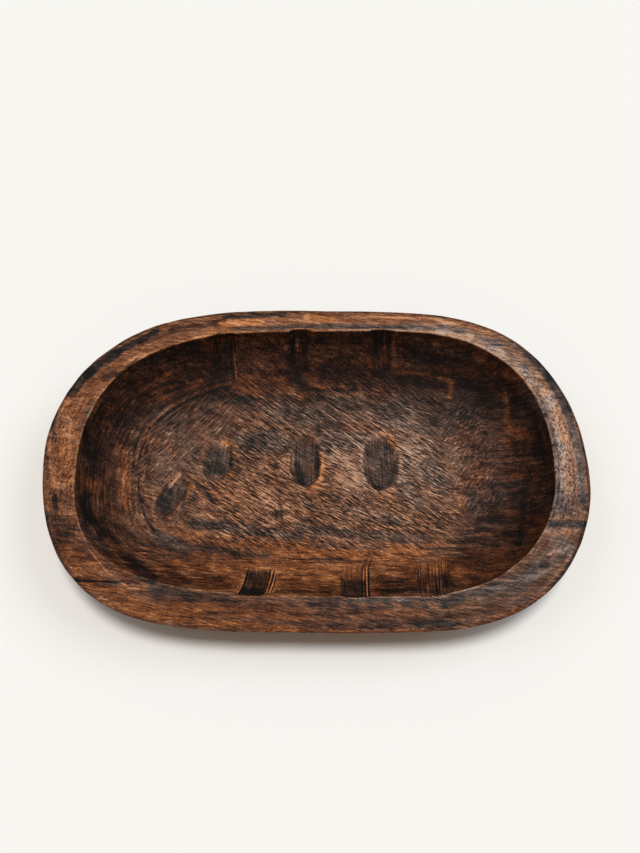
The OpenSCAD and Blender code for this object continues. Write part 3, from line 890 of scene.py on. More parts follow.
# %% Darker and paler patches
paint("""
330 374 436 384 26 15 0, 304 386 350 386 12 6 0, 418 372 420 384 22 13 0, 344 368 356 372 14 8 0,
376 378 392 378 12 5 0, 124 416 130 444 22 11 -10, 106 438 110 446 12 12 0, 83 450 90 458 10 8 0,
324 446 327 452 12 22 -20, 332 440 356 440 12 9 -10, 246 458 240 472 18 6 0,
268 438 272 438 12 7 0, 406 404 407 410 12 8 0, 434 474 438 478 10 5 0, 163 452 167 458 10 6 0,
518 446 524 470 16 6 0, 233 464 237 470 12 13 -10, 205 492 300 496 16 4 0, 170 396 282 384 24 8 15,
500 488 514 490 22 17 0, 496 540 516 540 12 5 0, 446 396 462 398 10 7 0, 385 592 402 592 6 10 0,
512 406 518 430 14 10 0, 502 468 514 472 10 7 0, 404 458 438 482 10 10 -15, 480 529 518 529 10 9 0,
328 546 350 545 10 11 0, 160 578 182 584 14 8 0, 220 558 244 557 10 8 10, 294 585 342 586 12 13 0,
382 578 410 590 14 13 0, 106 512 134 544 16 7 0, 82 524 106 552 8 12 -20, 200 586 244 588 7 5 0,
440 346 480 354 20 -16 20, 480 354 512 374 20 -16 20, 512 374 534 402 18 -14 10,
446 366 490 378 16 -10 20, 478 380 502 390 14 -12 20, 528 388 540 410 12 -12 0,
540 410 549 440 11 -17 0, 436 341 476 350 10 -10 0, 372 337 402 337 6 -6 0, 186 348 200 346 7 -8 0,
112 376 138 376 10 -11 0, 97 404 87 428 9 -12 0, 88 484 100 490 14 -12 30,
152 532 200 530 14 -12 10, 200 518 236 516 9 -9 0, 142 488 164 506 12 -8 0, 300 512 395 514 9 -9 0,
338 412 410 428 12 -10 0, 416 540 424 541 9 -12 0, 406 482 411 488 7 -12 -30,
356 456 376 464 10 -12 -10, 448 573 500 569 11 -13 30, 86 412 94 432 12 -14 10,
205 456 214 466 8 -8 0, 216 340 240 339 6 -18 10, 398 560 412 566 10 -7 10,
420 576 428 584 9 -10 40
""", hollow, HOLLOW_STRENGTH)

# %% Warmer and greyer patches
paint("""
150 378 215 356 34 0 20, 214 350 220 394 24 0 40, 298 350 308 394 20 0 40, 372 364 404 376 14 0 50,
124 404 200 384 28 0 20, 200 384 300 378 28 0 25, 300 378 430 380 28 0 30,
522 384 540 412 11 0 -60, 468 474 530 470 22 0 20, 490 536 530 530 18 0 20,
215 576 440 576 30 0 22, 300 594.2 440 596 1.8 20 0, 436 594.5 482 588 4 16 0,
482 588 512 573 3 14 0, 120 396 96 420 9 0 10, 150 416 200 412 20 3 0, 318 448 338 446 10 5 0,
236 464 260 458 12 4 0, 440 540 500 536 14 3 0, 512 450 518 494 22 3 10, 345 452 430 488 46 0 -20,
215 432 300 440 20 0 -15, 436 346 480 360 12 0 -30, 432 374 446 386 14 0 40,
118 402 128 424 14 0 30, 508 442 512 448 10 0 40, 492 514 500 518 12 0 30, 450 362 500 388 20 0 30,
486 384 506 388 12 0 30, 496 512 540 522 20 0 30, 446 470 464 484 16 0 15, 96 416 104 492 18 0 20,
235 384 285 388 14 0 15, 185 548 300 552 34 0 30, 345 560 400 562 14 0 15, 250 562 262 575 10 0 20,
420 572 470 562 18 0 30, 150 400 200 404 16 0 20, 320 442 372 438 18 0 -35,
350 488 372 494 12 0 -20, 160 462 215 478 22 0 -20, 150 484 168 480 12 0 -15,
84 516 102 548 10 0 -30, 120 420 128 438 12 0 -10, 398 470 414 504 20 0 -35,
330 455 440 500 40 0 -8, 340 500 400 524 22 0 -15, 246 450 264 452 12 0 -15
""", hollow, HOLLOW_STRENGTH)

# %% [markdown]
# ## Painted shade in the crease at the left end
# Long strokes ran round the left end of the floor and left a crease with fainter rings beside it.
# Their shade is painted as a dark arc with fainter arcs beside it and one paler one. Each could be
# its own row of strokes. Here one row of pixels is grown outwards from a middle, and every copy has
# its own width and darkness.

# %% Arcs
ARC = ((230, 386), (196, 396), (174, 408), (150, 428), (142, 448), (138, 474), (141, 500),
       (145, 515), (154, 532))
# How far out, width, hundredths of painted shade
ARC_COPIES = ((0, 2.2, 30), (7, 2.0, 10), (13, 1.8, 9), (19, 1.8, 8), (-9, 1.6, 6), (4, 1.8, -10))
ARC_MIDDLE, ARC_REACH, ARC_WARMTH = np.array((215, 462)), 76, -10
crease_shade_strokes = []
for out, width, more in ARC_COPIES:
    grown = ARC + (np.array(ARC) - ARC_MIDDLE) / ARC_REACH * out
    crease_shade_strokes += [(*a, *b, width, more, ARC_WARMTH) for a, b in zip(grown[:-1], grown[1:])]
paint(crease_shade_strokes, hollow, HOLLOW_STRENGTH)

# %% [markdown]
# ## Grounds of the fine marks
# Fine scratches come from noise in the material, but each kind has its own ground: slanting ones
# on the floor, level ones at the right end and on the front wall, rings at the left end, a crazed
# patch, and so on. A ground is a weight from 0 to 1 at each point.

# %% Grounds of the scrapes
crinkled = brush(462, 425, 478, 492, 54, hollow) + 0.6 * brush(128, 440, 136, 520, 26, hollow)
crinkled = np.clip(crinkled + 0.5 * brush(166, 440, 176, 530, 34, hollow), 0, 1) * (1 - in_gouge)
dry_walls = wallward * (1 - 0.5 * eased(0.35, 1.0, wall_share))
side_walls = dry_walls * eased(0.1, 0.6, side_y)
level_marks = np.clip(right_end * hollow + front_wall + 0.6 * eased(-50, -75, y) * hollow, 0, 1)
rising_marks = np.clip(brush(156, 456, 212, 410, 62, hollow) * (1 - 0.6 * in_gouge), 0, 1)
long_cuts = brush(236, 392, 345, 432, 60, hollow) * (1 - in_gouge) * (1 - 0.6 * dry_walls)

slant_marks = np.clip(hollow - level_marks, 0, 1) * (1 - 0.7 * in_gouge) * (1 - 0.75 * crinkled)
slant_marks *= (1 - 0.7 * dry_walls) * (1 - 0.25 * dry_walls) * (1 - 0.45 * left_end * wallward)
slant_marks *= (1 - 0.85 * rising_marks) * (1 - 0.3 * eased(20, 60, y))
slant_marks *= 1 - 0.35 * eased(-70, -110, x)

level_marks *= (1 - 0.8 * in_gouge) * (1 - 0.45 * dry_walls * right_end)
crinkled = np.clip(crinkled + 0.3 * side_walls, 0, 1)
level_marks *= 1 - 0.75 * crinkled
level_marks = np.maximum(level_marks, 0.45 * side_walls * (1 - in_gouge))
print("mean slanting and level marks:", np.round([slant_marks.mean(), level_marks.mean()], 3))

# %% Grounds of the rim's marks, the worn edges and the painted highlight along the mouth's edge
lengthwise = eased(0.25, 0.8, np.abs(side_y))
round_marks = hollow * eased(-16, -2, above_crease) * left_end
flecks = brush(526, 372, 548, 396, 16, rim_ground) + brush(548, 396, 563, 436, 19, rim_ground)
flecks += brush(563, 436, 568, 512, 20, rim_ground) + 0.55 * brush(62, 404, 58, 516, 26, rim_ground)
EDGE_WEAR_AND_LIGHT, OUTER_WEAR = 1.6, 2.6
# The band along the mouth's edge is partly real wear and partly a painted highlight; the outer edge
# is only worn.
mouth_edge = np.exp(-(below_mouth / EDGE_WEAR_AND_LIGHT) ** 2) * (zone >= RIM_TOP) * (1 - 0.5 * left_end)
over_edge = walked - walked[first_row(RIM_TOP)]
outer_edge = np.exp(-(over_edge / OUTER_WEAR) ** 2) * (zone <= RIM_TOP)
print("worn points:", int((mouth_edge > 0.5).sum()), int((outer_edge > 0.5).sum()))

# %% [markdown]
# ## What the materials read
# A material can only follow the bowl's own surface if the surface tells it where it is. A picture
# map would need unwrapping; attributes only need a value at each point. So every point carries
# seven vectors: five hold the measures above, three to a vector, one the place across a stroke or
# dent, and one the place on the section rolled round the mouth, which lets a pattern run round the
# bowl without a break.

# %% Point attributes
MEASURES = {
    "tint": {"stain_and_painted_light": stain_and_painted_light, "warm": warm, "crinkled": crinkled},
    "marks": {"slanting": slant_marks, "level": level_marks, "downward": stripe_weight},
    "edges": {"mouth_worn_and_lit": mouth_edge, "outer_worn": outer_edge, "hollow": hollow},
    "cuts": {"comb": comb, "rising": rising_marks, "long_cuts": long_cuts},
    "grounds": {"sides": lengthwise, "rounding": round_marks, "flecks": np.clip(flecks, 0, 1)},
}
rolled = (np.cos(mouth_turn) * mouth_radius + 0 * x, np.sin(mouth_turn) * mouth_radius + 0 * x)
attributes = {key: np.stack([*parts.values()], -1) for key, parts in MEASURES.items()}
attributes |= {"around": np.stack([*rolled, -below_mouth], -1) * MM, "gouge": gouge_place}
print("attributes:", ", ".join(attributes))

# %% [markdown]
# ## One skin, five pieces
# The numpy grid becomes one closed mesh. Its first and last rows lie on a line, so their doubles
# are welded. The mesh is then cut by the planes of the glue lines, which the packed model gives,
# and each cut is capped: the pieces meet flat face to flat face, as glued boards do. Five separate
# grids could be made instead, but then the marks would have to be matched across every seam.

# %% The skin as a mesh
# Both halves of the first and last rows take the same points on the middle line
mirrored = (-np.arange(COLUMNS)) % COLUMNS
for row in (0, -1):
    moved[row] = (moved[row] + moved[row][mirrored]) / 2
    moved[row, :, 1] = 0
numbers = np.arange(moved.shape[0] * COLUMNS).reshape(-1, COLUMNS)
beside = np.roll(numbers, -1, 1)
quads = np.stack([numbers[:-1], beside[:-1], beside[1:], numbers[1:]], -1).reshape(-1, 4)
whole = bpy.data.meshes.new("whole_skin")
whole.from_pydata(moved.reshape(-1, 3) * MM, [], quads)
for name, values in attributes.items():
    layer = whole.attributes.new(name, "FLOAT_VECTOR", "POINT")
    layer.data.foreach_set("vector", values.astype(np.float32).ravel())
print("faces in the whole skin:", len(quads))

# %% Cutting at a seam
WELD = 1e-6


def cut_between(bm, y_low, y_high):
    """Cuts away all outside two planes of y, either of which may be missing. Gives the border
    edges of each cut and the way that its cap has to face."""
    borders = []
    for y_cut, facing in ((y_low, -1), (y_high, 1)):
        if y_cut is None:
            continue
        everything = bm.verts[:] + bm.edges[:] + bm.faces[:]
        cut = bmesh.ops.bisect_plane(bm, geom=everything, dist=WELD, plane_co=(0, y_cut, 0),
                                     plane_no=(0, facing, 0), clear_outer=True)
        borders.append(([e for e in cut["geom_cut"] if isinstance(e, bmesh.types.BMEdge)], facing))
    return borders


def cap(bm, borders):
    """Fills each border with flat triangles that face outwards."""
    for border, facing in borders:
        for face in bmesh.ops.edgeloop_fill(bm, edges=border)["faces"]:
            face.normal_update()
            if face.normal.y * facing < 0:
                face.normal_flip()
            bmesh.ops.triangulate(bm, faces=[face])


print("doubles are welded within, in mm:", WELD / MM)

# %% Sinking a glue line
GLUE_SUNK = 0.25
SHOWING_DEPTH, HIDDEN_SHARE = 8, 0.2


def sink(bm, depth):
    """Moves a glue line in along its normals: all of it on the rim, little where the gouge ran."""
    bm.normal_update()
    on_top = (HEIGHT - SHOWING_DEPTH) * MM
    shares = [1.0 if v.co.z > on_top else HIDDEN_SHARE for v in bm.verts]
    places = [v.co - v.normal * depth * share for v, share in zip(bm.verts, shares)]
    for vert, place in zip(bm.verts, places):
        vert.co = place


print("glue lines are sunk by, in mm:", GLUE_SUNK)


# %% Five pieces
def make_piece(name, y_low, y_high, sunk_by=0.0):
    """The skin between two planes of y as a closed piece."""
    bm = bmesh.new()
    bm.from_mesh(whole)
    bm.verts.ensure_lookup_table()
    ends = bm.verts[:COLUMNS] + bm.verts[-COLUMNS:]
    bmesh.ops.remove_doubles(bm, verts=ends, dist=WELD)
    borders = cut_between(bm, y_low, y_high)
    if sunk_by:
        sink(bm, sunk_by)
    for face in bm.faces:
        face.smooth = True
    cap(bm, borders)
    mesh = bpy.data.meshes.new(name)
    bm.to_mesh(mesh)
    bm.free()
    piece = bpy.data.objects.new(name, mesh)
    bpy.context.scene.collection.objects.link(piece)
    print(name, "triangles:", sum(len(p.vertices) - 2 for p in mesh.polygons))
    return piece


seams = {name: [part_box(name)[end][1] for end in (0, 1)] for name in GLUE_LINES}
front_low, front_high = seams["front_glue_line"]
back_low, back_high = seams["back_glue_line"]
SPANS = {
    "back_board": (back_high, None),
    "back_glue_line": (back_low, back_high),
    "middle_board": (front_high, back_low),
    "front_glue_line": (front_low, front_high),
    "front_board": (None, front_low),
}
pieces = {}
for name, (y_low, y_high) in SPANS.items():
    sunk_by = GLUE_SUNK * MM if name in GLUE_LINES else 0
    piece = make_piece(name + "_carved", y_low, y_high, sunk_by)
    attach(piece, "root")
    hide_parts(name)
    pieces[name] = piece
bpy.data.meshes.remove(whole)
print("pieces:", len(pieces))

# %% [markdown]
# ## Shader maths
# A wood material is mostly sums of noises. Drawn as nodes that is a tangle, so one small class
# wraps a socket: an operator on it adds the Math node, and one method adds any other node.

# %% Shader values
class Shade:
    """A socket of one material. Operators add Math nodes; node() adds any other kind."""

    def __init__(self, tree, socket=None):
        self.tree, self.socket = tree, socket

    def node(self, kind, settings=None, inputs=None, output=0):
        """A node of the kind, its settings made first, then the values or links of its sockets."""
        made = self.tree.nodes.new("ShaderNode" + kind)
        for key, setting in (settings or {}).items():
            if key == "stops":
                elements = made.color_ramp.elements
                while len(elements) < len(setting):
                    elements.new(1.0)
                for element, (place, color) in zip(elements, setting):
                    element.position, element.color = place, color
            else:
                setattr(made, key, setting)
        for key, given in (inputs or {}).items():
            if isinstance(given, Shade):
                self.tree.links.new(given.socket, made.inputs[key])
            else:
                made.inputs[key].default_value = given
        return Shade(self.tree, made.outputs[output])

    def maths(self, operation, a, b=0.0, clamp=False):
        return self.node("Math", {"operation": operation, "use_clamp": clamp}, {0: a, 1: b})

    def __add__(self, other):
        return self.maths("ADD", self, other)

    def __sub__(self, other):
        return self.maths("SUBTRACT", self, other)

    def __rsub__(self, other):
        return self.maths("SUBTRACT", other, self)

    def __mul__(self, other):
        return self.maths("MULTIPLY", self, other)

    __radd__, __rmul__ = __add__, __mul__

    def clamped(self):
        return self.maths("ADD", self, 0.0, True)

    def eased(self, start, end):
        """0 at the start, 1 at the end and a smooth S between, in either order."""
        smooth = {"interpolation_type": "SMOOTHSTEP"}
        return self.node("MapRange", smooth, {0: self, 1: start, 2: end})

    def part(self, index):
        """One part of a vector."""
        return self.node("SeparateXYZ", None, {0: self}, index)

    def mixed(self, low, high, blend="MIX"):
        """A colour mixed by this share. Of a Mix node's sockets, these are the ones for colours."""
        share, first, second, result = 0, 6, 7, 2
        settings = {"data_type": "RGBA", "blend_type": blend}
        return self.node("Mix", settings, {share: self, first: low, second: high}, result)


print("what a shader value can do:", [key for key in vars(Shade) if key[0] != "_"])

# %% [markdown]
# ## The colours of stained wood
# The wood under the stain is golden. Two ramps go from bare to fully stained, one for wood that
# stayed warm and one where the stain dried grey. Where a point lies on the ramp is its painted
# stain, with painted shade and light added, plus fine noises, and how warm it is picks between the
# two ramps.

# %% Wood colours
def srgb(*levels):
    """A colour as written for a screen, 0 to 255, as the linear values a shader needs."""
    shares = [level / 255 for level in levels]
    return (*(s / 12.92 if s <= 0.04045 else ((s + 0.055) / 1.055) ** 2.4 for s in shares), 1.0)


WARM_STOPS = (
    (0.0, srgb(212, 147, 95)), (0.2, srgb(169, 106, 63)), (0.4, srgb(123, 73, 42)),
    (0.6, srgb(82, 46, 28)), (0.8, srgb(44, 25, 17)), (1.0, srgb(16, 10, 8)),
)
GREY_STOPS = (
    (0.0, srgb(200, 163, 136)), (0.2, srgb(154, 119, 100)), (0.4, srgb(111, 86, 72)),
    (0.6, srgb(75, 59, 51)), (0.8, srgb(45, 37, 33)), (1.0, srgb(19, 16, 15)),
)
BLUE_CAST = (0.84, 1.0, 1.2, 1.0)
print("bare wood, linear:", [round(level, 3) for level in WARM_STOPS[0][1]])

# %% [markdown]
# ## Marks with a direction
# Scratches are long and thin. Coordinates that are stretched before a noise reads them draw it
# out along one direction. A cell pattern that is stretched in the same way gives single dashes.
# One noise could do for both, but its streaks run into each other where a tool leaves short,
# separate cuts.

# %% Streaks
NOISE_ROUGHNESS = 0.55


def placed(value, source, size, at=(0, 0, 0), degrees=0):
    """Coordinates counted in steps of a size, from a place in mm and turned in the level plane."""
    start, turn = tuple(a * MM for a in at), (0, 0, math.radians(degrees))
    inputs = {0: source, 1: start, 2: turn, 3: size}
    return value.node("Mapping", {"vector_type": "TEXTURE"}, inputs)


def clouds(value, place, detail=0.0, roughness=0.5):
    """Noise from 0 to 1 whose blobs are about one step of the coordinates wide."""
    inputs = {"Vector": place, "Scale": 1.0, "Detail": detail, "Roughness": roughness}
    return value.node("TexNoise", None, inputs)


def brushed(value, degrees, along, across, detail=2.0, at=(0, 0, 0), source=None):
    """Noise from 0 to 1 drawn out along a direction in the level plane; sizes in mm."""
    source = source or value.node("TexCoord", output="Object")
    place = placed(value, source, (along * MM, across * MM, along * MM), at, degrees)
    return clouds(value, place, detail, NOISE_ROUGHNESS)


print("roughness of the noises:", NOISE_ROUGHNESS)

# %% Dashes
DASH_FULL, DASH_GONE = 0.7, 1.2


def dashes(value, degrees, long, wide, reach, at=(0, 0, 0), source=None):
    """Short straight lines, 0 to 1, at random places: the ground next to each point of a Voronoi
    cell pattern that is drawn out along the line. Sizes in mm; the reach is a share of a cell."""
    source = source or value.node("TexCoord", output="Object")
    cell = (long / (2 * reach) * MM, wide / (2 * reach) * MM, MM)
    place = placed(value, source, cell, at, degrees)
    away = value.node("TexVoronoi", {"voronoi_dimensions": "2D"}, {"Vector": place, "Scale": 1.0})
    return away.eased(reach * DASH_GONE, reach * DASH_FULL)


def hatching(value, rows, patches=(), source=None):
    """The sum of several kinds of dashes. Each has its numbers, its amount and what each of the
    patches adds to that amount."""
    total = 0
    for *numbers, at, amount, more in rows:
        for patch, extra in zip(patches, more):
            amount = patch * extra + amount if extra else amount
        total = total + dashes(value, *numbers, at, source) * amount
    return total


print("a dash fades between these shares of its reach:", DASH_FULL, DASH_GONE)

# %% [markdown]
# ## Marks of the hollow
# The gouge and the scraper ran in a few directions: slanting over the floor, level along its
# front, rising at its right end and long over its middle. Each kind is a soft streak with
# sharper dark and pale dashes on it. The painted grounds say where each kind shows.

# %% Numbers of the marks
# Degrees, length and width in mm, detail, place of the pattern, amount
STREAKS = {
    "slanting": (-30, 14, 2.6, 3, (0, 0, 0), 0.14), "level": (2, 20, 2.4, 3, (0, 0, 0), 0.75),
    "crinkled": (25, 3.4, 1.9, 3, (0, 0, 0), 1.1), "rising": (47, 9, 1.5, 2, (33, 8, 0), 0.6),
}
# Degrees, length and width in mm, reach, place of the pattern, amount (below 0 for pale ones),
# more in some patches and in the others
DASHES = {
    "slanting": (
        (-20, 6, 1.0, 0.24, (12, 44, 0), 0.3, ()),
        (-26, 5.5, 0.9, 0.2, (52, 84, 0), -0.24, ()),
        (-31, 13, 0.9, 0.25, (0, 0, 0), 0.16, (0.4, 0)),
        (-25, 9, 0.8, 0.2, (70, 12, 0), 0.28, ()),
        (-41, 14, 0.9, 0.24, (30, 0, 0), 0.04, (0, 0.32)),
        (-15, 13, 0.9, 0.18, (40, 90, 0), 0, (0.22, 0)),
        (58, 8, 0.8, 0.15, (0, 50, 0), 0, (0, 0.2)),
        (-35, 13, 0.8, 0.2, (70, 30, 0), -0.3, ()),
        (-18, 9, 0.8, 0.17, (20, 70, 0), -0.1, (-0.24, 0)),
    ),
    "level": ((-3, 20, 1.0, 0.24, (0, 0, 0), 0.2, ()), (-8, 10, 0.8, 0.2, (90, 0, 0), -0.2, ())),
    "crinkled": ((50, 5, 0.8, 0.2, (11, 0, 0), -0.28, ()),),
    "rising": ((50, 8, 0.8, 0.2, (60, 0, 0), 0.26, ()), (45, 12, 0.7, 0.17, (0, 0, 0), -0.3, ())),
    "long_cuts": (
        (-35, 26, 0.8, 0.17, (55, 35, 0), 0.26, ()),
        (-37, 32, 0.7, 0.17, (15, 5, 0), -0.4, ()),
    ),
}
STRAIGHT_DASHES = ("rising", "long_cuts")
SLANTS_PALER = 0.08
print("kinds of dashes:", {kind: len(rows) for kind, rows in DASHES.items()})

# %% Marks in the hollow
# Blobs to a metre, detail and reach in metres of the noises that bend a scratch
BENDS = ((26.0, 1.0, 0.003), (105.0, 0.0, 0.0011))


def bent(value):
    """Places on the board pushed about by two noises, so that no scratch runs dead straight."""
    here = place = value.node("TexCoord", output="Object")
    for scale, detail, reach in BENDS:
        inputs = {"Scale": scale, "Detail": detail, "Vector": here}
        push = value.node("TexNoise", None, inputs, "Color")
        push = value.node("VectorMath", {"operation": "SCALE"}, {0: push, "Scale": reach})
        place = value.node("VectorMath", None, {0: place, 1: push})
    return place


def hollow_marks(value):
    """What each kind of scratch adds to the stain where it shows."""
    source = bent(value)
    patch = brushed(value, -25, 19, 11, 2, (5, 60, 0))
    patches = patch.eased(0.42, 0.56), patch.eased(0.58, 0.44)
    marks = {}
    for kind, rows in DASHES.items():
        marks[kind] = hatching(value, rows, patches, None if kind in STRAIGHT_DASHES else source)
    for kind, (*numbers, amount) in STREAKS.items():
        marks[kind] = marks[kind] + (brushed(value, *numbers, source) - 0.5) * amount
    marks["slanting"] = marks["slanting"] - SLANTS_PALER
    return marks


print("scratches are pushed about by, in mm:", [reach / MM for *_, reach in BENDS])

# %% [markdown]
# ## Marks along the strokes and round the mouth
# The comb of fine ridges in a stroke follows the stroke's own place across, which the skin
# carries, so the lines bend with it. The lines round the left end follow the section rolled
# round the mouth in the same way.

# %% Marks that follow the surface
COMB_TOOTH = 2.9
STRIPE_SIZE = (1.5, 40.0, 1.0)
WIPED_SIZE, HAIR_SIZE = (0.03, 0.03, 0.0021), (0.05, 0.05, 0.0034)
WIPED_ROUGHNESS = 0.62


def stroke_marks(value):
    """Fine stripes along the gouge strokes and dents, and the comb of even ridges in some."""
    gouge = value.node("Attribute", {"attribute_name": "gouge"}, output="Vector")
    stripes = clouds(value, placed(value, gouge, STRIPE_SIZE), 1.0)
    tooth = (gouge.part(0) + (stripes - 0.5) * 1.5) * (2 * math.pi / COMB_TOOTH)
    wave = value.maths("SINE", tooth)
    return {
        "downward": stripes.eased(0.46, 0.38) * 0.4 - stripes.eased(0.56, 0.64) * 0.3,
        "comb": wave.eased(0.1, -0.5) * 0.42 - wave.eased(0.35, 0.85) * 0.36,
    }


def round_lines(value):
    """Streaks round the mouth, and those with thin dark hairs between them."""
    around = value.node("Attribute", {"attribute_name": "around"}, output="Vector")
    wiped = clouds(value, placed(value, around, WIPED_SIZE), 3.0, WIPED_ROUGHNESS) - 0.5
    hair = clouds(value, placed(value, around, HAIR_SIZE)) - 0.5
    hair = value.maths("ABSOLUTE", hair).eased(0.045, 0.014)
    return wiped, wiped * 0.9 + (hair - 0.2) * 0.16


print("teeth of the comb, in mm:", COMB_TOOTH)

# %% [markdown]
# ## Marks of the rim
# The rim was planed along the boards, so its grain and its cuts run with them on the long sides.
# At the two ends the tool went across the grain and left short curls and flecks.

# %% Marks on the rim
def rim_marks(value, reads, wiped, shift):
    """What the grain, the streaks round the mouth and the dashes add to the stain on the rim."""
    sides, flecks = reads["sides"], reads["flecks"]
    ends = 1 - sides
    grain = brushed(value, 0, 46, 2.4, 3, shift) - 0.5
    lines = brushed(value, 0, 24, 1.7, 1, shift)
    mottle = brushed(value, 12, 11, 5, 4, shift) - 0.5
    fine = brushed(value, 0, 4.0, 0.9, 1, shift) - 0.5
    soft = grain * sides * 0.55 + wiped * (ends * 0.2 + 0.45) + mottle * (ends * 0.05 + 0.42)
    soft = soft + (lines.eased(0.42, 0.34) * 0.11 - lines.eased(0.58, 0.66) * 0.08) * sides
    rows = (
        (-62, 2.8, 1.1, 0.27, shift, 0.03, (0, 0, 0.26)),
        (62, 5, 0.8, 0.22, shift, 0.05, (0, 0.22, 0)),
        (-13, 15, 0.8, 0.2, shift, 0.07, (0.19, 0, 0)),
        (-16, 11, 0.8, 0.17, (45, 3, 0), -0.16, ()),
    )
    return soft + fine * 0.34 + hatching(value, rows, (sides, ends, flecks))


print("patches of the rim: sides, ends, flecks")

# %% [markdown]
# ## One board's wood
# The sum of all marks moves the stain up and down the ramps. Worn edges take stain away; along the
# mouth's edge this paler band is partly wear and partly a painted highlight. The marks also raise
# the bump a little, so that they catch the light as cuts do. A painted texture would hold the same
# picture, but not at every distance, and not on the hidden outside.

# %% Reading the skin
def read_measures(value):
    """All that the skin's points carry, by name."""
    reads = {}
    for key, names in MEASURES.items():
        vector = value.node("Attribute", {"attribute_name": key}, output="Vector")
        reads |= {name: vector.part(index) for index, name in enumerate(names)}
    return reads


def new_material(name):
    """A material, its shader and a first value in it."""
    material = bpy.data.materials.new(name)
    material.use_nodes = True
    return material, material.node_tree.nodes["Principled BSDF"], Shade(material.node_tree)


print("measures read:", sum(len(names) for names in MEASURES.values()))

# %% Blemishes, wear and the painted highlight on the mouth's edge
WORN_AND_LIT_PALER = 0.44


def blemishes(value, hollow, blotch, cloud):
    """Blotches, clouds, dark and pale specks and dust, which lie everywhere."""
    specks = brushed(value, 0, 1.9, 1.6, 0, (10, 0, 0))
    dust = brushed(value, 30, 1.2, 0.9, 0, (0, 10, 0)) - 0.5
    large = blotch * (hollow * 0.5 + 0.2) + cloud * (hollow * 0.18 + 0.2)
    small = specks.eased(0.36, 0.26) * 0.12 - specks.eased(0.64, 0.72) * (hollow * 0.08 + 0.06)
    return large + small + dust * (hollow * 0.08 + 0.18)


def worn_and_lit_edges(value, reads):
    """Where the mouth's edge is rubbed and carries a painted highlight, and where, in fewer places,
    the outer edge is rubbed, 0 to 1.
    """
    rub = brushed(value, 0, 6, 3, 3, (70, 20, 0))
    outer = reads["outer_worn"] * rub.eased(0.5, 0.68) * 0.45
    return (reads["mouth_worn_and_lit"] * rub.eased(0.3, 0.55) + outer).clamped()


print("worn wood has less stain by:", WORN_AND_LIT_PALER)

# %% Wood
BUMP_SHARES = {"slanting": 1.0, "level": 0.8, "downward": 0.8}
BUMP_STRENGTH, BUMP_HEIGHT = 0.6, 0.0006
WOOD_GLINT = 0.07


def stained_wood(name, rim_stain, shift):
    """One board's material. rim_stain is added on the rim, where the boards differ most."""
    material, shader, value = new_material(name)
    reads = read_measures(value)
    hollow, open_rim = reads["hollow"], 1 - reads["hollow"]
    wiped, rings = round_lines(value)
    on_rim = (rim_marks(value, reads, wiped, shift) + rim_stain) * open_rim
    marks = hollow_marks(value) | stroke_marks(value) | {"rounding": rings}
    shown = {kind: mark * reads[kind] for kind, mark in marks.items()}
    blotch = brushed(value, -22, 24, 11, 4) - 0.5
    cloud = brushed(value, -14, 7, 3.6, 3, (20, 30, 0)) - 0.5
    amount = reads["stain_and_painted_light"] + on_rim + sum(shown.values())
    amount = amount + blemishes(value, hollow, blotch, cloud)
    amount = (amount - worn_and_lit_edges(value, reads) * WORN_AND_LIT_PALER).clamped()

    # Dark wood of the hollow is cooler; on the rim the coolest stain has a blue cast
    warmth = reads["warm"] + blotch * 0.7 + cloud * 0.6 - (amount - 0.45) * hollow * 0.24
    cast = warmth.eased(0.15, -0.45) * open_rim
    warm_wood = value.node("ValToRGB", {"stops": WARM_STOPS}, {0: amount})
    grey_wood = value.node("ValToRGB", {"stops": GREY_STOPS}, {0: amount})
    color = cast.mixed(warmth.clamped().mixed(grey_wood, warm_wood), BLUE_CAST, "MULTIPLY")
    rough = (0.6 + blotch * 0.2 + marks["slanting"] * 0.1).clamped()
    height = on_rim * -0.5 - sum(shown[kind] * share for kind, share in BUMP_SHARES.items())
    inputs = {"Strength": BUMP_STRENGTH, "Distance": BUMP_HEIGHT, "Height": height}
    bump = value.node("Bump", None, inputs)
    for socket, given in (("Base Color", color), ("Roughness", rough), ("Normal", bump)):
        material.node_tree.links.new(given.socket, shader.inputs[socket])
    shader.inputs["Specular IOR Level"].default_value = WOOD_GLINT
    return material


# Stain added on the rim, and where each board's grain starts
BOARDS = {
    "back": (0.0, (0, 0, 0)), "middle": (0.10, (310, 7, 3)), "front": (0.0, (150, 40, 9)),
}
FINISHES = {}
for side, (rim_stain, shift) in BOARDS.items():
    wood = stained_wood(side + "_wood_stained", rim_stain, shift)
    FINISHES[side + "_board"] = (wood, side + "_wood")
print("woods:", len(FINISHES))

# %% [markdown]
# ## Glue
# The glue lines are nearly black on the rim, where stain gathered in the slightly sunk film, and
# stained like the wood where the gouge cut them open.

# %% Glue
GLUE_ROUGHNESS, GLUE_GLINT = 0.7, 0.1


def dark_glue(name):
    """The material of a glue line."""
    material, shader, value = new_material(name)
    reads = read_measures(value)
    streaks = brushed(value, 0, 12, 2, 2)
    amount = reads["stain_and_painted_light"] + 0.06 + (streaks - 0.5) * 0.5 + (1 - reads["hollow"]) * 0.18
    color = value.node("ValToRGB", {"stops": WARM_STOPS}, {0: amount.clamped()})
    material.node_tree.links.new(color.socket, shader.inputs["Base Color"])
    shader.inputs["Roughness"].default_value = GLUE_ROUGHNESS
    shader.inputs["Specular IOR Level"].default_value = GLUE_GLINT
    return material


for side in ("back", "front"):
    FINISHES[side + "_glue_line"] = (dark_glue(side + "_glue_dark"), "glue")
for name, (material, slot_name) in FINISHES.items():
    pieces[name].data.materials.append(material)
print("materials:", len(FINISHES))

# %% [markdown]
# ## Floor and light
# The photograph was taken on a pale paper floor under a broad soft light from above and behind.
# A studio set with area lamps could copy it, but their light falls off, so the bowl would look
# another way from every side. Suns and an even world don't fall off. The sum of their light on a
# level surface is one, at which a colour renders as it is written.

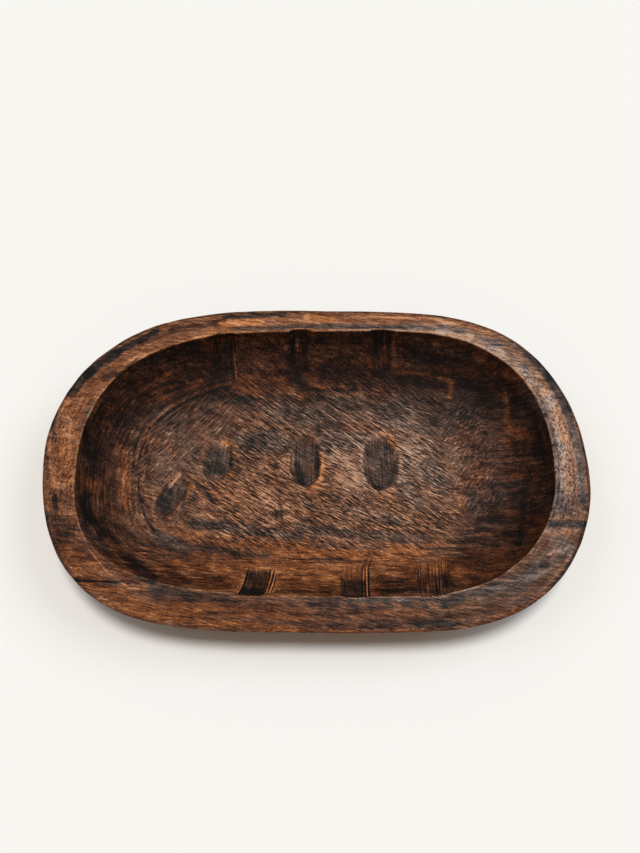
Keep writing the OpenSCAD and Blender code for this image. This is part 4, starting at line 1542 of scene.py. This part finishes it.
# %% Floor
FLOOR_COLOR = (0.944, 0.928, 0.884)
FLOOR_SIZE = 6.0
corner = FLOOR_SIZE / 2
corners = [(-corner, -corner, 0), (corner, -corner, 0), (corner, corner, 0), (-corner, corner, 0)]
floor_mesh = bpy.data.meshes.new("paper_floor")
floor_mesh.from_pydata(corners, [], [(0, 1, 2, 3)])
paper_floor = bpy.data.objects.new("paper_floor", floor_mesh)
bpy.context.scene.collection.objects.link(paper_floor)
paper = bpy.data.materials.new("paper")
paper.use_nodes = True
paper_look = paper.node_tree.nodes["Principled BSDF"].inputs
paper_look["Base Color"].default_value = (*FLOOR_COLOR, 1)
paper_look["Roughness"].default_value = 0.9
paper_look["Specular IOR Level"].default_value = 0.1
floor_mesh.materials.append(paper)
print("floor in m:", FLOOR_SIZE)

# %% [markdown]
# ## The world
# The sky gives a fifth of the light, and a warm one, because in the photograph it is the paper
# round the bowl that lights the shaded walls. The camera and shiny surfaces see a white backdrop
# in its place, through a mix by kind of ray.

# %% World
SKY = 0.22
SKY_COLOR = (1.0, 0.82, 0.66)
world = bpy.data.worlds.new("even_sky")
world.use_nodes = True
value = Shade(world.node_tree)
lit = value.node("Background", None, {"Color": (*SKY_COLOR, 1), "Strength": SKY})
seen = value.node("Background", None, {"Color": (*FLOOR_COLOR, 1), "Strength": 1.0})
rays = ("Is Camera Ray", "Is Glossy Ray", "Is Transmission Ray")
seen_by = sum(value.node("LightPath", output=key) for key in rays)
shown = value.node("MixShader", None, {0: seen_by.clamped(), 1: lit, 2: seen})
world.node_tree.links.new(shown.socket, world.node_tree.nodes["World Output"].inputs["Surface"])
bpy.context.scene.world = world
print("sky's light on a level surface:", [round(SKY * part, 2) for part in SKY_COLOR])

# %% Lamps
# Direction that it comes from, share of the light on a level surface, and width in degrees
SOFTBOXES = {
    "right_softbox": ((0.74, 0.32, 1.0), 0.15, 34),
    "left_softbox": ((-0.60, 0.22, 1.0), 0.07, 30),
}
SOFTBOX_COLOR = (0.82, 1.0, 1.2)
WINDOW_FROM, WINDOW_WIDTH = (0.03, 0.095, 1.0), 13


def wide_sun(name, direction, level, width):
    """A sun that gives a level surface the light written as level, one value for each colour."""
    toward = Vector(direction).normalized()
    lamp = bpy.data.objects.new(name, bpy.data.lights.new(name, "SUN"))
    lamp.data.energy = math.pi / toward.z
    lamp.data.color = level
    lamp.data.angle = math.radians(width)
    lamp.rotation_euler = toward.to_track_quat("Z", "Y").to_euler()
    bpy.context.scene.collection.objects.link(lamp)


# The window overhead gives what the sky and the softboxes leave
left_over = [1 - SKY * part for part in SKY_COLOR]
for name, (direction, share, width) in SOFTBOXES.items():
    level = [share * part for part in SOFTBOX_COLOR]
    left_over = [a - b for a, b in zip(left_over, level)]
    wide_sun(name, direction, level, width)
wide_sun("overhead_window", WINDOW_FROM, left_over, WINDOW_WIDTH)
print("window's light on a level surface:", [round(part, 2) for part in left_over])
bpy.context.scene.view_settings.view_transform = "Standard"
